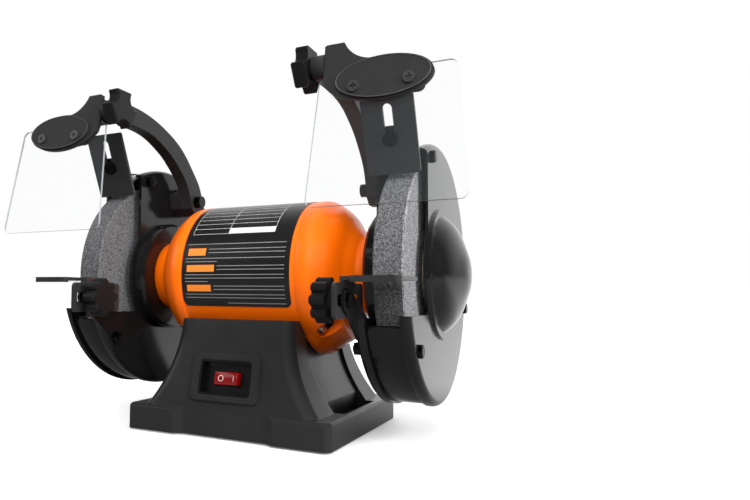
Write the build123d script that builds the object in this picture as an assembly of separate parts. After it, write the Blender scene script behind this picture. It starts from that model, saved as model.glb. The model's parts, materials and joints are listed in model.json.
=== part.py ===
"""Bench grinder: a motor spindle with two wheels, guards, eye shields and tool rests on a cast base.

Millimetres. +X runs along the shaft, +Y to the back, +Z up; z = 0 is the bench under the shaft's middle.
"""

import os
from math import cos, hypot, radians, sin, sqrt

from build123d import *

# spindle and wheels
axis_z = 151.0
wheel_r = 100.0
wheel_width = 25.0
wheel_edge = 1.2
spindle_r = 7.9375
bearing_seat_r = 8.5
rotor_seat_r = 10.0
thread_end = 3.7
blotter_r = 38.0
blotter_thick = 0.8
flange_r = 36.0
flange_thick = 6.0
flange_rim = 7.0
flange_web = 4.0
flange_edge = 2.0
flange_land = 9.0
flange_land_step = 1.0
flange_relief = 1.2
flange_dish_r = 20.0
flange_inner_hub_r = 16.0
flange_outer_hub_r = 17.0
nut_across = 24.0
nut_thick = 13.0

# bearings
bearing_r = 20.0
bearing_width = 12.0
race_wall = 3.2
ball_r = 3.1
ball_count = 8
cage_half_thick = 0.8
cage_width = 3.0
running_gap = 0.05

# motor
shell_r = 72.0
shell_wall = 4.0
shell_half_length = 61.0
core_half_length = 30.0
core_depth = 29.8
air_gap = 0.5
slot_count = 24
slot_r = 2.6
slot_mouth = 0.6
winding_bore = 5.8
winding_gap = 8.0
winding_overhang = 18.0
winding_round = 5.0
end_ring_step = 4.7
end_ring_wall = 11.0
end_ring_width = 8.0
bell_lip = 0.6
bell_rim_length = 7.0
bell_length = 49.0
bell_wall = 4.0
shoulder_profile = ((0.226, 0.907), (0.476, 0.688), (0.619, 0.478), (0.738, 0.253), (0.857, 0.09))
bearing_inset = 37.0
bearing_shoulder = 3.0
neck_r = 37.0
neck_length = 8.5
neck_hole_r = 11.0
spigot_length = 6.0
spigot_wall = 3.0
chin_drop = 5.5
chin_curve_r = 60.0
chin_length = 32.5
chin_square = 7.0
chin_tip_r = 44.0
tie_bolt_r = 2.5
tie_head_r = 5.5
tie_head_thick = 5.0
tie_seat = 12.0
tie_pocket_r = 8.0
tie_inset = 3.35
tie_angles = (-50.65, 230.65, 60.0)
label_thick = 0.3
label_glue = 0.25
label_margin_left = 1.0
label_margin_right = 5.0
label_low_angle = 206.0
label_high_angle = 78.0
label_corner_r = 6.0

# base
foot_proud = 1.5
block_half_x = 104.5
block_half_y = 96.0
block_top = 25.0
block_corner_r = 7.0
block_edge = 2.0
panel_half_width = 43.0
panel_setback = 5.0
panel_slope = 9.0
panel_round = 8.0
pedestal_sink = 3.0
saddle_drop = 44.0
saddle_edge = 17.0
saddle_wall = 8.0
pedestal_foot_half_x = 91.0
saddle_end_inset = 1.0
pedestal_foot_half_y = 91.0
pedestal_flare = 2.2
pedestal_corner_r = 11.0
pedestal_steps = (0.0, 0.15, 0.4, 0.7, 1.0)
side_panel_inset = 3.0
side_panel_half_y = 45.0
side_clear = 0.6
tray_rim = 6.5
tray_width = 18.5
tray_half_y = 43.0
tray_floor = 9.0
slot_width = 9.0
slot_length = 14.0
cavity_half_x = 54.0
cavity_draft = 2.0
cavity_low_half_y = 80.0
cavity_top_inset = 14.0
cavity_corner_r = 8.0
plate_lap_x = 11.0
plate_lap_y = 8.0
plate_thick = 2.0
plate_recess = 4.0
plate_screw_lap = 5.0
plate_screw_y = 60.0
plate_screw_r = 2.0
plate_head_r = 4.5
plate_head_thick = 1.8
plate_screw_length = 12.0
pad_x = 87.0
pad_y = 79.0
pad_r = 11.0
pad_height = 6.0
saddle_bolt_x = 42.0
saddle_bolt_r = 3.0
saddle_head_r = 6.0
saddle_head_thick = 5.0
saddle_nut_thick = 5.0
saddle_nut_lift = 0.4

# switch, on the sloped front of the base
switch_x = -1.0
switch_z = 54.0
frame_width = 70.0
frame_height = 43.0
frame_proud = 2.5
frame_corner_r = 5.0
pocket_width = 54.0
pocket_height = 32.0
pocket_depth = 9.0
pocket_corner_r = 3.0
bezel_gap = 0.3
bezel_thick = 2.0
bezel_wall = 1.6
bezel_drop = 0.5
housing_width = 32.0
housing_height = 17.0
housing_depth = 20.0
housing_floor = 4.0
rocker_width = 26.0
rocker_height = 12.0
rocker_gap = 0.6
rocker_end_gap = 1.3
rocker_rise = 3.4
rocker_depth = 8.0
rocker_taper = 6.0
rocker_dish = 1.6
rocker_axis_depth = 4.0
rocker_pin_r = 1.5
rocker_pin_lap = 1.4
rocker_tilt = 8.0

# inside the base
capacitor_r = 19.0
capacitor_length = 72.0
capacitor_y = 22.0
capacitor_lift = 6.5
capacitor_pin_r = 2.0
capacitor_pin_gap = 14.0
capacitor_pin_length = 9.0
clamp_thick = 2.0
clamp_width = 16.0
clamp_post = 12.0
terminal_length = 42.0
terminal_depth = 16.0
terminal_height = 14.0
terminal_y = -28.0
terminal_ways = 4
terminal_well_r = 3.2
terminal_well_depth = 8.0
gland_x = 34.0
gland_z = 34.0
gland_flange_r = 10.0
gland_flange_thick = 5.0
gland_barrel_r = 7.0
gland_barrel_length = 17.0
gland_bore_r = 4.0
gland_sink = 3.5
gland_clear = 1.0

# wheel guards
guard_clear = 18.0
guard_sheet = 2.0
hub_depth = 11.2
guard_plate_thick = 3.0
guard_rim = 8.3
guard_edge = 2.0
hub_dish_r = 58.0
hub_dish_wall = 3.0
hub_hole_r = 14.0
hub_screw_pitch_r = 26.0
hub_screw_r = 2.5
hub_head_r = 4.5
hub_head_thick = 3.5
hub_screw_depth = 7.0
hub_screw_count = 3
wheel_side_gap = 8.8
band_thick = 2.5
band_plate_gap = 0.8
band_cover_gap = 0.4
band_front_drop = 44.0
cover_side_gap = 6.4
cover_rim_width = 9.0
cover_sheet = 2.5
cover_rim_round = 6.0
cover_edge_y = -52.0
cover_edge_drop = 36.0
plate_edge_y = -49.0
plate_edge_drop = 39.0
opening_margin = 4.0
dome_ring_r = 60.0
dome_ring_rise = 2.6
dome_foot_r = 53.0
dome_height = 25.3
dome_wall = 2.5
dome_profile = ((0.4185, 0.811), (0.793, 0.453))
dome_inside_profile = ((0.822, 0.434), (0.49, 0.785))
through_inset = 10.5
through_angles = (110.07, 216.57, -17.27)
through_bolt_r = 3.0
through_head_r = 5.5
through_head_thick = 3.6
through_head_round = 1.5
through_nut_across = 10.0
through_nut_thick = 7.0
through_end = 1.0
spacer_r = 4.5

# spark arrestors, a plate leaning forward in front of the guard's top end
spark_offset = 8.5
spark_gap = 4.05
spark_angle = 126.17
spark_lean = 22.9
spark_width = 45.0
spark_height = 66.0
spark_thick = 3.0
spark_corner_r = 2.0
spark_slot_r = 4.0
spark_slot_below = 2.1
spark_slot_above = 25.1
spark_screw_rise = 18.15
spark_screw_r = 3.0
spark_head_r = 6.5
spark_head_thick = 3.4
spark_head_round = 1.2
spark_nut_across = 10.0
spark_nut_thick = 5.0
spark_screw_end = 1.0
spark_clear = 0.3
spark_flange_lap = 1.25
spark_flange_above = 10.1
spark_flange_thick = 3.0

# shield arms: edges as shares of the pivot's reach and rise from the arm's bolt
arm_offset = 27.7
arm_width = 14.0
arm_eye_width = 10.5
arm_sweep_r = 23.0
arm_pad_lap = 1.0
arm_bolt_y = 16.6
arm_bolt_inset = 33.7
arm_bolt_r = 4.0
arm_head_r = 6.5
arm_head_thick = 8.0
arm_nut_across = 13.0
arm_nut_thick = 5.0
arm_lean_right = -1.3
arm_lean_left = 2.2
pivot_reach = 143.6
pivot_rise = 74.7
pivot_eye_r = 9.75
arm_back_edge = (
    (0.703, 1.112),
    (0.552, 1.051),
    (0.391, 0.942),
    (0.247, 0.803),
    (0.139, 0.644),
    (0.04, 0.443),
    (-0.047, 0.234),
    (-0.077, 0.099),
)
arm_heel = (-0.097, -0.044)
arm_foot = ((-0.084, -0.202), (0.006, -0.202))
arm_toe = (0.067, -0.098)
arm_front_edge = (
    (0.098, 0.116),
    (0.138, 0.264),
    (0.224, 0.438),
    (0.331, 0.605),
    (0.429, 0.712),
    (0.575, 0.826),
    (0.694, 0.866),
)

# eye shields, drawn from their bracket's inner end and down from the pivot
stud_r = 3.95
stud_hole_r = 4.0
stud_end_gap = 0.5
bracket_gap = 0.4
bracket_block_length = 17.1
bracket_block_half_height = 11.0
bracket_block_back = 10.0
bracket_block_edge = 3.0
bracket_block_cap = 3.0
bracket_front = 6.7
bracket_thick = 4.0
bracket_half_height = 14.0
bracket_ear_top = 15.0
bracket_ear_length = 16.1
bracket_curve = ((22.4, 5.9), (28.0, 1.6), (33.5, -0.8), (42.0, -1.6))
bracket_low_edge = ((32.0, -34.0), (20.0, -33.2), (11.5, -29.6), (1.9, -21.6))
leaf_centre = 48.0
leaf_drop = 19.1
leaf_length = 73.0
leaf_height = 32.6
leaf_rim = 1.8
leaf_rise = 2.2
shield_tilt = 7.9
shield_thick = 2.2
shield_top_drop = 11.2
shield_low_drop = 117.0
shield_top_in = 4.9
shield_top_out = 102.1
shield_low_in = 11.9
shield_low_out = 111.6
shield_corner_r = 6.0
backing_thick = 3.0
backing_height = 14.0
backing_margin = 9.75
backing_corner_r = 5.0
shield_screw_in = 26.2
shield_screw_out = 68.8
shield_screw_in_drop = 24.9
shield_screw_out_drop = 24.0
shield_screw_r = 2.0
shield_head_r = 4.6
shield_head_thick = 1.8
shield_cross_width = 1.1
shield_cross_length = 5.2
shield_cross_depth = 1.2
knob_r = 19.5
knob_side_count = 6
knob_corner_r = 1.5
knob_hollow_depth = 4.9
knob_land = 1.75
knob_width = 11.5
knob_edge = 1.5
knob_neck_r = 8.5
knob_neck_length = 1.6
knob_gap = 0.4

# tool rests
rest_drop = 6.0
rest_sheet = 3.0
rest_gap = 3.0
rest_depth = 47.0
rest_inner_lap = 3.0
rest_outer_lap = 12.0
rest_lip = 4.8
rest_corner_r = 5.0
rest_tab_front = 17.0
rest_tab_back = 3.0
leg_clear = 0.3
leg_height = 27.5
leg_drop = 5.0
leg_back = 17.0
leg_corner_r = 4.0
leg_slot_front = 4.6
leg_slot_back = 7.0
leg_slot_height = 9.0
leg_slot_round = 2.0
rest_stud_out = 29.0
rest_stud_drop = 24.6
rest_stud_r = 4.0
rest_stud_head = 2.0
rest_ear_r = 9.5
rest_ear_root = 34.0
rest_ear_toe = 14.0
rest_ear_low = 56.0
star_width = 13.0
star_core_r = 13.4
star_lobe_r = 4.5
star_lobe_pitch_r = 13.4
star_lobe_count = 8
star_edge = 1.2
star_cap = 4.5
star_neck_r = 10.0
star_neck_length = 7.1
star_bore_clear = 0.05

# places along the shaft, from the motor's middle outwards
bearing_x = shell_half_length + bearing_inset
neck_start_x = shell_half_length + bell_length
neck_end_x = neck_start_x + neck_length
tie_seat_x = shell_half_length + tie_seat
chin_end_x = shell_half_length + chin_length
label_left_x = -shell_half_length + label_margin_left
label_right_x = shell_half_length - label_margin_right
guard_plate_x = neck_end_x + hub_depth
guard_rim_end_x = guard_plate_x + guard_rim
wheel_x = guard_plate_x + guard_plate_thick + wheel_side_gap
wheel_end_x = wheel_x + wheel_width
nut_x = wheel_end_x + blotter_thick + flange_thick
shaft_half_length = nut_x + nut_thick + thread_end
cover_face_x = wheel_end_x + cover_side_gap + cover_sheet
cover_rim_x = cover_face_x - cover_rim_width
band_start_x = guard_plate_x + guard_plate_thick + band_plate_gap
band_end_x = cover_face_x - cover_rim_round - band_cover_gap
dome_ring_x = cover_face_x + dome_ring_rise
dome_tip_x = cover_face_x + dome_height
spark_x = wheel_x + spark_offset
arm_x = guard_plate_x - arm_offset
arm_eye_end_x = arm_x + arm_eye_width
bracket_x = arm_eye_end_x + bracket_gap
bracket_block_end_x = bracket_x + bracket_block_length
knob_x = arm_x - knob_gap - knob_neck_length - knob_width
rest_in_x = wheel_x - rest_inner_lap
rest_out_x = wheel_end_x + rest_outer_lap
leg_to_x = guard_plate_x - leg_clear
leg_from_x = leg_to_x - rest_sheet
star_neck_end_x = leg_from_x - leg_clear
star_x = star_neck_end_x - star_neck_length - star_width
rest_stud_end_x = star_x + star_cap

# radii, heights and places across the shaft
ball_pitch_r = (bearing_r - race_wall + bearing_seat_r + race_wall) / 2
core_bore_r = shell_r - shell_wall - core_depth
winding_inner_r = core_bore_r + winding_bore
winding_outer_r = shell_r - shell_wall - winding_gap
end_ring_r = core_bore_r - air_gap - end_ring_step
bell_r = shell_r + bell_lip
chin_r = shell_r + chin_drop
tie_pitch_r = shell_r - shell_wall - tie_inset
pedestal_top_half_x = shell_half_length - saddle_end_inset
pedestal_foot_z = block_top - pedestal_sink
pedestal_top_z = axis_z - saddle_drop
pedestal_top_half_y = sqrt(shell_r * shell_r - saddle_drop * saddle_drop) + saddle_edge
cavity_top_half_y = pedestal_top_half_y - cavity_top_inset
side_clear_x = shell_half_length - side_clear
tray_outer_x = block_half_x - tray_rim
tray_inner_x = tray_outer_x - tray_width
slot_x = (tray_inner_x + tray_outer_x) / 2
plate_half_x = cavity_half_x + plate_lap_x
plate_half_y = cavity_low_half_y + plate_lap_y
plate_screw_x = cavity_half_x + plate_screw_lap
floor_z = foot_proud + plate_recess
capacitor_z = floor_z + capacitor_r + capacitor_lift
guard_r = wheel_r + guard_clear
through_pitch_r = guard_r - through_inset
cover_edge_z = axis_z - cover_edge_drop
plate_edge_z = axis_z - plate_edge_drop
band_front_z = axis_z - band_front_drop
band_r = guard_r - guard_sheet
arm_bolt_z = axis_z + guard_r - arm_bolt_inset
pivot_y = arm_bolt_y - pivot_reach
pivot_z = arm_bolt_z + pivot_rise
rest_top_z = axis_z - rest_drop
rest_back_y = -wheel_r - rest_gap
rest_front_y = rest_back_y - rest_depth
leg_high_z = rest_top_z - leg_drop
leg_low_z = leg_high_z - leg_height
leg_back_y = rest_back_y + leg_back
rest_stud_y = -wheel_r - rest_stud_out
rest_stud_z = axis_z - rest_stud_drop

shaft_axis = Axis((0, 0, axis_z), (1, 0, 0))


def ring_x(outer_r, inner_r, x_from, x_to):
    """Hollow disc around the shaft."""
    face = Pos(0, axis_z) * (Circle(outer_r) - Circle(inner_r))
    return extrude(Plane.YZ.offset(x_from) * face, x_to - x_from)


def rod_x(radius, x_from, x_to, y, z):
    """Solid rod along X."""
    return extrude(Plane.YZ.offset(x_from) * Pos(y, z) * Circle(radius), x_to - x_from)


def hex_x(across, x_from, x_to, y, z, hole_r):
    """Hexagon nut along X."""
    face = Pos(y, z) * (RegularPolygon(across / sqrt(3), 6) - Circle(hole_r))
    return extrude(Plane.YZ.offset(x_from) * face, x_to - x_from)


def plate_x(face, x_from, x_to):
    """Flat plate: a (y, z) outline given a thickness along X."""
    return extrude(Plane.YZ.offset(x_from) * face, x_to - x_from)


def box(x_from, x_to, y_from, y_to, z_from, z_to):
    """Block given by its six limits."""
    centre = Pos((x_from + x_to) / 2, (y_from + y_to) / 2, (z_from + z_to) / 2)
    return centre * Box(x_to - x_from, y_to - y_from, z_to - z_from)


def turned(points):
    """Solid of revolution around the shaft from (x, radius) corners."""
    outline = Plane.XZ * Pos(0, axis_z) * make_face(Polyline(*points, close=True))
    return revolve(outline, shaft_axis)


def around(radius, angle):
    """Point (y, z) at an angle around the shaft, counted from the back upwards."""
    return radius * cos(radians(angle)), axis_z + radius * sin(radians(angle))


def mirrored(shape):
    """The same piece on the left side."""
    return mirror(shape, about=Plane.YZ)


def group(solids):
    """Several separate solids of one kind."""
    return Compound(solids)


def pair(solids):
    """Right-hand solids together with their left-hand mirror images."""
    return group(solids + [mirrored(one) for one in solids])


# base and what it holds


def pedestal_half_x(z):
    share = (pedestal_top_z - z) / (pedestal_top_z - pedestal_foot_z)
    return pedestal_top_half_x + (pedestal_foot_half_x - pedestal_top_half_x) * share**pedestal_flare


def pedestal_half_y(z):
    share = (pedestal_top_z - z) / (pedestal_top_z - pedestal_foot_z)
    return pedestal_top_half_y + (pedestal_foot_half_y - pedestal_top_half_y) * share


def front_plane():
    """Plane of the sloped front face, centred on the switch, facing out."""
    rise = pedestal_top_z - pedestal_foot_z
    run = pedestal_foot_half_y - pedestal_top_half_y
    length = sqrt(rise * rise + run * run)
    return Plane(
        origin=(switch_x, -pedestal_half_y(switch_z), switch_z),
        x_dir=(1, 0, 0),
        z_dir=(0, -rise / length, run / length),
    )


def pedestal(side_inset):
    height = pedestal_top_z - pedestal_foot_z
    sections = []
    for step in pedestal_steps:
        z = pedestal_foot_z + height * step
        half_x = pedestal_half_x(z) - side_inset
        outline = RectangleRounded(2 * half_x, 2 * pedestal_half_y(z), pedestal_corner_r)
        sections.append(Plane.XY.offset(z) * outline)
    return loft(sections)


def base_block():
    outline = RectangleRounded(2 * block_half_x, 2 * block_half_y, block_corner_r)
    block = extrude(Plane.XY.offset(foot_proud) * outline, block_top - foot_proud)
    block = chamfer(block.faces().sort_by(Axis.Z)[-1].edges(), block_edge)
    near = block_half_y - panel_setback
    mouth = panel_half_width + panel_slope
    panel = make_face(
        Polyline(
            (-mouth, block_half_y),
            (-panel_half_width, near),
            (panel_half_width, near),
            (mouth, block_half_y),
            close=True,
        )
    )
    panel = fillet(panel.vertices().sort_by(Axis.Y)[:2], panel_round)
    for turn in (0, 180):
        block -= extrude(Rot(0, 0, turn) * panel, block_top)
    ledge = box(-panel_half_width, panel_half_width, -near, near, pedestal_foot_z, block_top)
    return block - ledge


def cavity():
    low = Plane.XY.offset(foot_proud) * RectangleRounded(
        2 * cavity_half_x, 2 * cavity_low_half_y, cavity_corner_r
    )
    high = Plane.XY.offset(pedestal_top_z) * RectangleRounded(
        2 * (cavity_half_x - cavity_draft), 2 * cavity_top_half_y, cavity_corner_r
    )
    hollow = loft([low, high])
    return hollow - rod_x(shell_r + saddle_wall, -block_half_x, block_half_x, 0, axis_z)


def gland_plane():
    """Flat seat sunk into the sloped back, facing out."""
    seat_y = pedestal_half_y(gland_z) - gland_sink
    return Plane(origin=(gland_x, seat_y, gland_z), x_dir=(-1, 0, 0), z_dir=(0, 1, 0))


def gland_seat():
    seat = gland_plane()
    recess = extrude(seat * Circle(gland_flange_r + gland_clear), block_half_y)
    return recess + extrude(seat * Circle(gland_barrel_r), -gland_barrel_length - gland_clear)


def base():
    body = base_block() + pedestal(0)
    front = front_plane()
    body += extrude(front * RectangleRounded(frame_width, frame_height, frame_corner_r), frame_proud)
    body += extrude(front * RectangleRounded(frame_width, frame_height, frame_corner_r), -frame_proud)
    body -= rod_x(shell_r, -block_half_x, block_half_x, 0, axis_z)
    body -= cavity()
    panel = box(-block_half_x, block_half_x, -side_panel_half_y, side_panel_half_y, block_top, pedestal_top_z)
    body -= panel - pedestal(side_panel_inset)
    floor = front.offset(frame_proud)
    body -= extrude(floor * RectangleRounded(pocket_width, pocket_height, pocket_corner_r), -pocket_depth)
    body -= extrude(front * Rectangle(housing_width, housing_height), -housing_depth - pocket_depth)
    for side in (-1, 1):
        tray_from = min(side * tray_inner_x, side * tray_outer_x)
        tray_to = max(side * tray_inner_x, side * tray_outer_x)
        top_from = min(side * side_clear_x, side * block_half_x)
        top_to = max(side * side_clear_x, side * block_half_x)
        body -= box(tray_from, tray_to, -tray_half_y, tray_half_y, tray_floor, axis_z)
        body -= rod_x(chin_r + side_clear, top_from, top_to, 0, axis_z)
        slot = SlotOverall(slot_length, slot_width)
        body -= extrude(Plane.XY * Pos(side * slot_x, 0) * slot, tray_floor)
        bolt = Plane.XY.offset(block_top) * Pos(side * saddle_bolt_x, 0) * Circle(saddle_bolt_r)
        body -= extrude(bolt, axis_z - block_top)
    recess = Rectangle(2 * plate_half_x, 2 * plate_half_y)
    body -= extrude(Plane.XY.offset(foot_proud) * recess, plate_recess)
    for x, y in corner_points(plate_screw_x, plate_screw_y):
        screw_hole = Plane.XY * Pos(x, y) * Circle(plate_screw_r)
        body -= extrude(screw_hole, floor_z - plate_thick + plate_screw_length)
    for x, y in corner_points(pad_x, pad_y):
        body -= extrude(Plane.XY * Pos(x, y) * Circle(pad_r), pad_height)
    return body - gland_seat()


def corner_points(x, y):
    return ((-x, -y), (x, -y), (-x, y), (x, y))


def base_plate():
    outline = Rectangle(2 * plate_half_x, 2 * plate_half_y)
    plate = extrude(Plane.XY.offset(floor_z - plate_thick) * outline, plate_thick)
    for x, y in corner_points(plate_screw_x, plate_screw_y):
        plate -= extrude(Plane.XY * Pos(x, y) * Circle(plate_screw_r), floor_z)
    return plate


def base_plate_screws():
    under = floor_z - plate_thick
    screws = []
    for x, y in corner_points(plate_screw_x, plate_screw_y):
        head = Plane.XY.offset(under - plate_head_thick) * Pos(x, y) * Circle(plate_head_r)
        head = extrude(head, plate_head_thick)
        shank = extrude(Plane.XY.offset(under) * Pos(x, y) * Circle(plate_screw_r), plate_screw_length)
        screws.append(head + shank)
    return group(screws)


def rubber_feet():
    feet = []
    for x, y in corner_points(pad_x, pad_y):
        feet.append(extrude(Plane.XY * Pos(x, y) * Circle(pad_r), pad_height))
    return group(feet)


def saddle_bolts():
    bolts = []
    under = axis_z - shell_r - saddle_wall
    inside = axis_z - shell_r + shell_wall + saddle_nut_lift
    for x in (-saddle_bolt_x, saddle_bolt_x):
        place = Pos(x, 0)
        head = extrude(Plane.XY.offset(under) * place * RegularPolygon(saddle_head_r, 6), -saddle_head_thick)
        shank = extrude(Plane.XY.offset(under) * place * Circle(saddle_bolt_r), inside - under)
        nut = extrude(Plane.XY.offset(inside) * place * RegularPolygon(saddle_head_r, 6), saddle_nut_thick)
        bolts.append(head + shank + nut)
    return group(bolts)


def bezel_plane():
    return front_plane().offset(frame_proud - pocket_depth)


def switch_body():
    floor = bezel_plane()
    width = pocket_width - 2 * bezel_gap
    height = pocket_height - 2 * bezel_gap
    corner_r = pocket_corner_r - bezel_gap
    lining = RectangleRounded(width, height, corner_r)
    well = RectangleRounded(width - 2 * bezel_wall, height - 2 * bezel_wall, corner_r - bezel_wall)
    body = extrude(floor * lining, pocket_depth - bezel_drop)
    body -= extrude(floor.offset(bezel_thick) * well, pocket_depth)
    body += extrude(floor * Rectangle(housing_width, housing_height), -housing_depth)
    window = Rectangle(rocker_width + 2 * rocker_end_gap, rocker_height + 2 * rocker_gap)
    body -= extrude(floor.offset(bezel_thick) * window, -bezel_thick - housing_depth + housing_floor)
    axis_at = floor.offset(bezel_thick - rocker_axis_depth)
    pin = Plane(origin=axis_at.origin, x_dir=axis_at.x_dir, z_dir=axis_at.y_dir)
    reach = rocker_height / 2 + rocker_gap + rocker_pin_lap
    return body + extrude(pin * Circle(rocker_pin_r), reach, both=True)


def switch_rocker():
    axis_at = bezel_plane().offset(bezel_thick - rocker_axis_depth)
    side = Plane(origin=axis_at.origin, x_dir=axis_at.x_dir, z_dir=-axis_at.y_dir)
    half = rocker_width / 2
    top = rocker_axis_depth + rocker_rise
    dip = top - rocker_dish
    low = rocker_axis_depth - rocker_depth
    crown = ThreePointArc((half, top), (0, dip), (-half, top))
    foot = half - rocker_taper
    rest = Polyline((-half, top), (-half, 0), (-foot, low), (foot, low), (half, 0), (half, top))
    rocker = extrude(side * make_face(crown + rest), rocker_height / 2, both=True)
    rocker -= extrude(side * Circle(rocker_pin_r + running_gap), rocker_height, both=True)
    return rocker.rotate(Axis(axis_at.origin, axis_at.y_dir), -rocker_tilt)


def capacitor():
    half = capacitor_length / 2
    can = rod_x(capacitor_r, -half, half, capacitor_y, capacitor_z)
    for side in (-0.5, 0.5):
        y = capacitor_y + side * capacitor_pin_gap
        can += rod_x(capacitor_pin_r, half, half + capacitor_pin_length, y, capacitor_z)
    return can


def capacitor_clamp():
    outer = capacitor_r + clamp_thick
    half = clamp_width / 2
    post = clamp_post / 2
    strap = rod_x(outer, -half, half, capacitor_y, capacitor_z)
    strap += box(-half, half, capacitor_y - outer, capacitor_y + outer, floor_z, floor_z + clamp_thick)
    strap += box(-half, half, capacitor_y - post, capacitor_y + post, floor_z, capacitor_z)
    return strap - rod_x(capacitor_r, -half, half, capacitor_y, capacitor_z)


def terminal_block():
    half = terminal_length / 2
    middle = terminal_y + terminal_depth / 2
    top = floor_z + terminal_height
    block = box(-half, half, terminal_y, terminal_y + terminal_depth, floor_z, top)
    for way in range(terminal_ways):
        x = -half + (way + 0.5) * terminal_length / terminal_ways
        well = Plane.XY.offset(top) * Pos(x, middle) * Circle(terminal_well_r)
        block -= extrude(well, -terminal_well_depth)
    return block


def cord_gland():
    seat = gland_plane()
    gland = extrude(seat * Circle(gland_flange_r), gland_flange_thick)
    gland += extrude(seat * Circle(gland_barrel_r), -gland_barrel_length)
    length = gland_flange_thick + gland_barrel_length
    return gland - extrude(seat * Circle(gland_bore_r), length, both=True)


# motor


def tie_points():
    return [around(tie_pitch_r, angle) for angle in tie_angles]


def motor_shell():
    shell = ring_x(shell_r, shell_r - shell_wall, -shell_half_length, shell_half_length)
    for x in (-saddle_bolt_x, saddle_bolt_x):
        shell -= extrude(Plane.XY * Pos(x, 0) * Circle(saddle_bolt_r), axis_z)
    return shell


def stator_core():
    core = ring_x(shell_r - shell_wall, core_bore_r, -core_half_length, core_half_length)
    slot_pitch_r = core_bore_r + slot_r - slot_mouth
    for index in range(slot_count):
        y, z = around(slot_pitch_r, 360 * index / slot_count)
        core -= rod_x(slot_r, -core_half_length, core_half_length, y, z)
    for y, z in tie_points():
        core -= rod_x(tie_bolt_r, -core_half_length, core_half_length, y, z)
    return core


def stator_windings():
    far = core_half_length + winding_overhang
    coil = ring_x(winding_outer_r, winding_inner_r, core_half_length, far)
    coil = fillet(coil.faces().sort_by(Axis.X)[-1].edges(), winding_round)
    return pair([coil])


def bell_outside():
    """Half section of the right bell's outside, (x, radius): rim, round shoulder and neck."""
    start = shell_half_length
    rim_end = start + bell_rim_length
    run = neck_start_x - rim_end
    fall = bell_r - neck_r
    middle = [(rim_end + run * along, neck_r + fall * share) for along, share in shoulder_profile]
    shoulder = Spline((rim_end, bell_r), *middle, (neck_start_x, neck_r), tangents=((1, 0), (1, 0)))
    rest = Polyline(
        (neck_start_x, neck_r),
        (neck_end_x, neck_r),
        (neck_end_x, 0),
        (start, 0),
        (start, bell_r),
        (rim_end, bell_r),
    )
    return make_face(shoulder + rest)


def bell_hollow():
    """Inside of the right bell: room for the coil ends, bearing seat and shaft hole."""
    wide = shell_r - shell_wall - spigot_wall
    seat_from = bearing_x - bearing_shoulder
    seat_to = bearing_x + bearing_width
    rim_end = shell_half_length + bell_rim_length
    run = neck_start_x - rim_end
    fall = bell_r - neck_r
    slope = []
    for along, share in shoulder_profile[1:3]:
        slope.append((rim_end + run * along - bell_wall, neck_r + fall * share - bell_wall))
    return turned(
        (
            (0, 0),
            (0, wide),
            (rim_end + bell_wall, wide),
            *slope,
            (seat_from, neck_r),
            (seat_from, bearing_r),
            (seat_to, bearing_r),
            (seat_to, neck_hole_r),
            (neck_end_x, neck_hole_r),
            (neck_end_x, 0),
        )
    )


def chin():
    """Round swelling under a bell that narrows to a smaller end."""
    low_z = axis_z - chin_r + chin_curve_r
    square_x = shell_half_length + chin_square
    outline = Polyline(
        (shell_half_length, low_z),
        (shell_half_length, low_z + chin_curve_r),
        (square_x, low_z + chin_curve_r),
        (chin_end_x, low_z + chin_tip_r),
        (chin_end_x, low_z),
        close=True,
    )
    return revolve(Plane.XZ * make_face(outline), Axis((0, 0, low_z), (1, 0, 0)))


def end_bell():
    bell = revolve(Plane.XZ * Pos(0, axis_z) * bell_outside(), shaft_axis)
    bell += chin()
    spigot_r = shell_r - shell_wall
    spigot_end = shell_half_length + bell_rim_length
    bell += ring_x(spigot_r, spigot_r - 2 * spigot_wall, shell_half_length - spigot_length, spigot_end)
    bell -= bell_hollow()
    for y, z in tie_points():
        bell -= rod_x(tie_bolt_r, 0, tie_seat_x, y, z)
        bell -= rod_x(tie_pocket_r, tie_seat_x, neck_end_x, y, z)
    for y, z in hub_screw_points():
        bell -= rod_x(hub_screw_r, neck_end_x - hub_screw_depth, neck_end_x, y, z)
    return bell


def tie_bolts():
    bolts = []
    for y, z in tie_points():
        bolt = rod_x(tie_bolt_r, -tie_seat_x, tie_seat_x, y, z)
        bolt += rod_x(tie_head_r, tie_seat_x, tie_seat_x + tie_head_thick, y, z)
        bolt += rod_x(tie_head_r, -tie_seat_x - tie_head_thick, -tie_seat_x, y, z)
        bolts.append(bolt)
    return group(bolts)


def label():
    inner = shell_r + label_glue
    film = ring_x(inner + label_thick, inner, label_left_x, label_right_x)
    reach = 2 * shell_r
    corners = [(0, axis_z)]
    steps = 6
    for index in range(steps + 1):
        angle = radians(label_high_angle + (label_low_angle - label_high_angle) * index / steps)
        corners.append((reach * cos(angle), axis_z + reach * sin(angle)))
    wedge = make_face(Polyline(*corners, close=True))
    film = film & plate_x(wedge, label_left_x, label_right_x)
    return film - label_corners()


def label_corners():
    """What rounds the film's two lower corners."""
    turn = radians(label_low_angle)
    low = Plane(
        origin=(0, shell_r * cos(turn), axis_z + shell_r * sin(turn)),
        x_dir=(1, 0, 0),
        z_dir=(0, cos(turn), sin(turn)),
    )
    r = label_corner_r
    left = Pos(label_left_x + r / 2, r / 2) * Rectangle(r, r) - Pos(label_left_x + r, r) * Circle(r)
    right = Pos(label_right_x - r / 2, r / 2) * Rectangle(r, r) - Pos(label_right_x - r, r) * Circle(r)
    return extrude(low * left, shell_wall, both=True) + extrude(low * right, shell_wall, both=True)


# spindle


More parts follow.
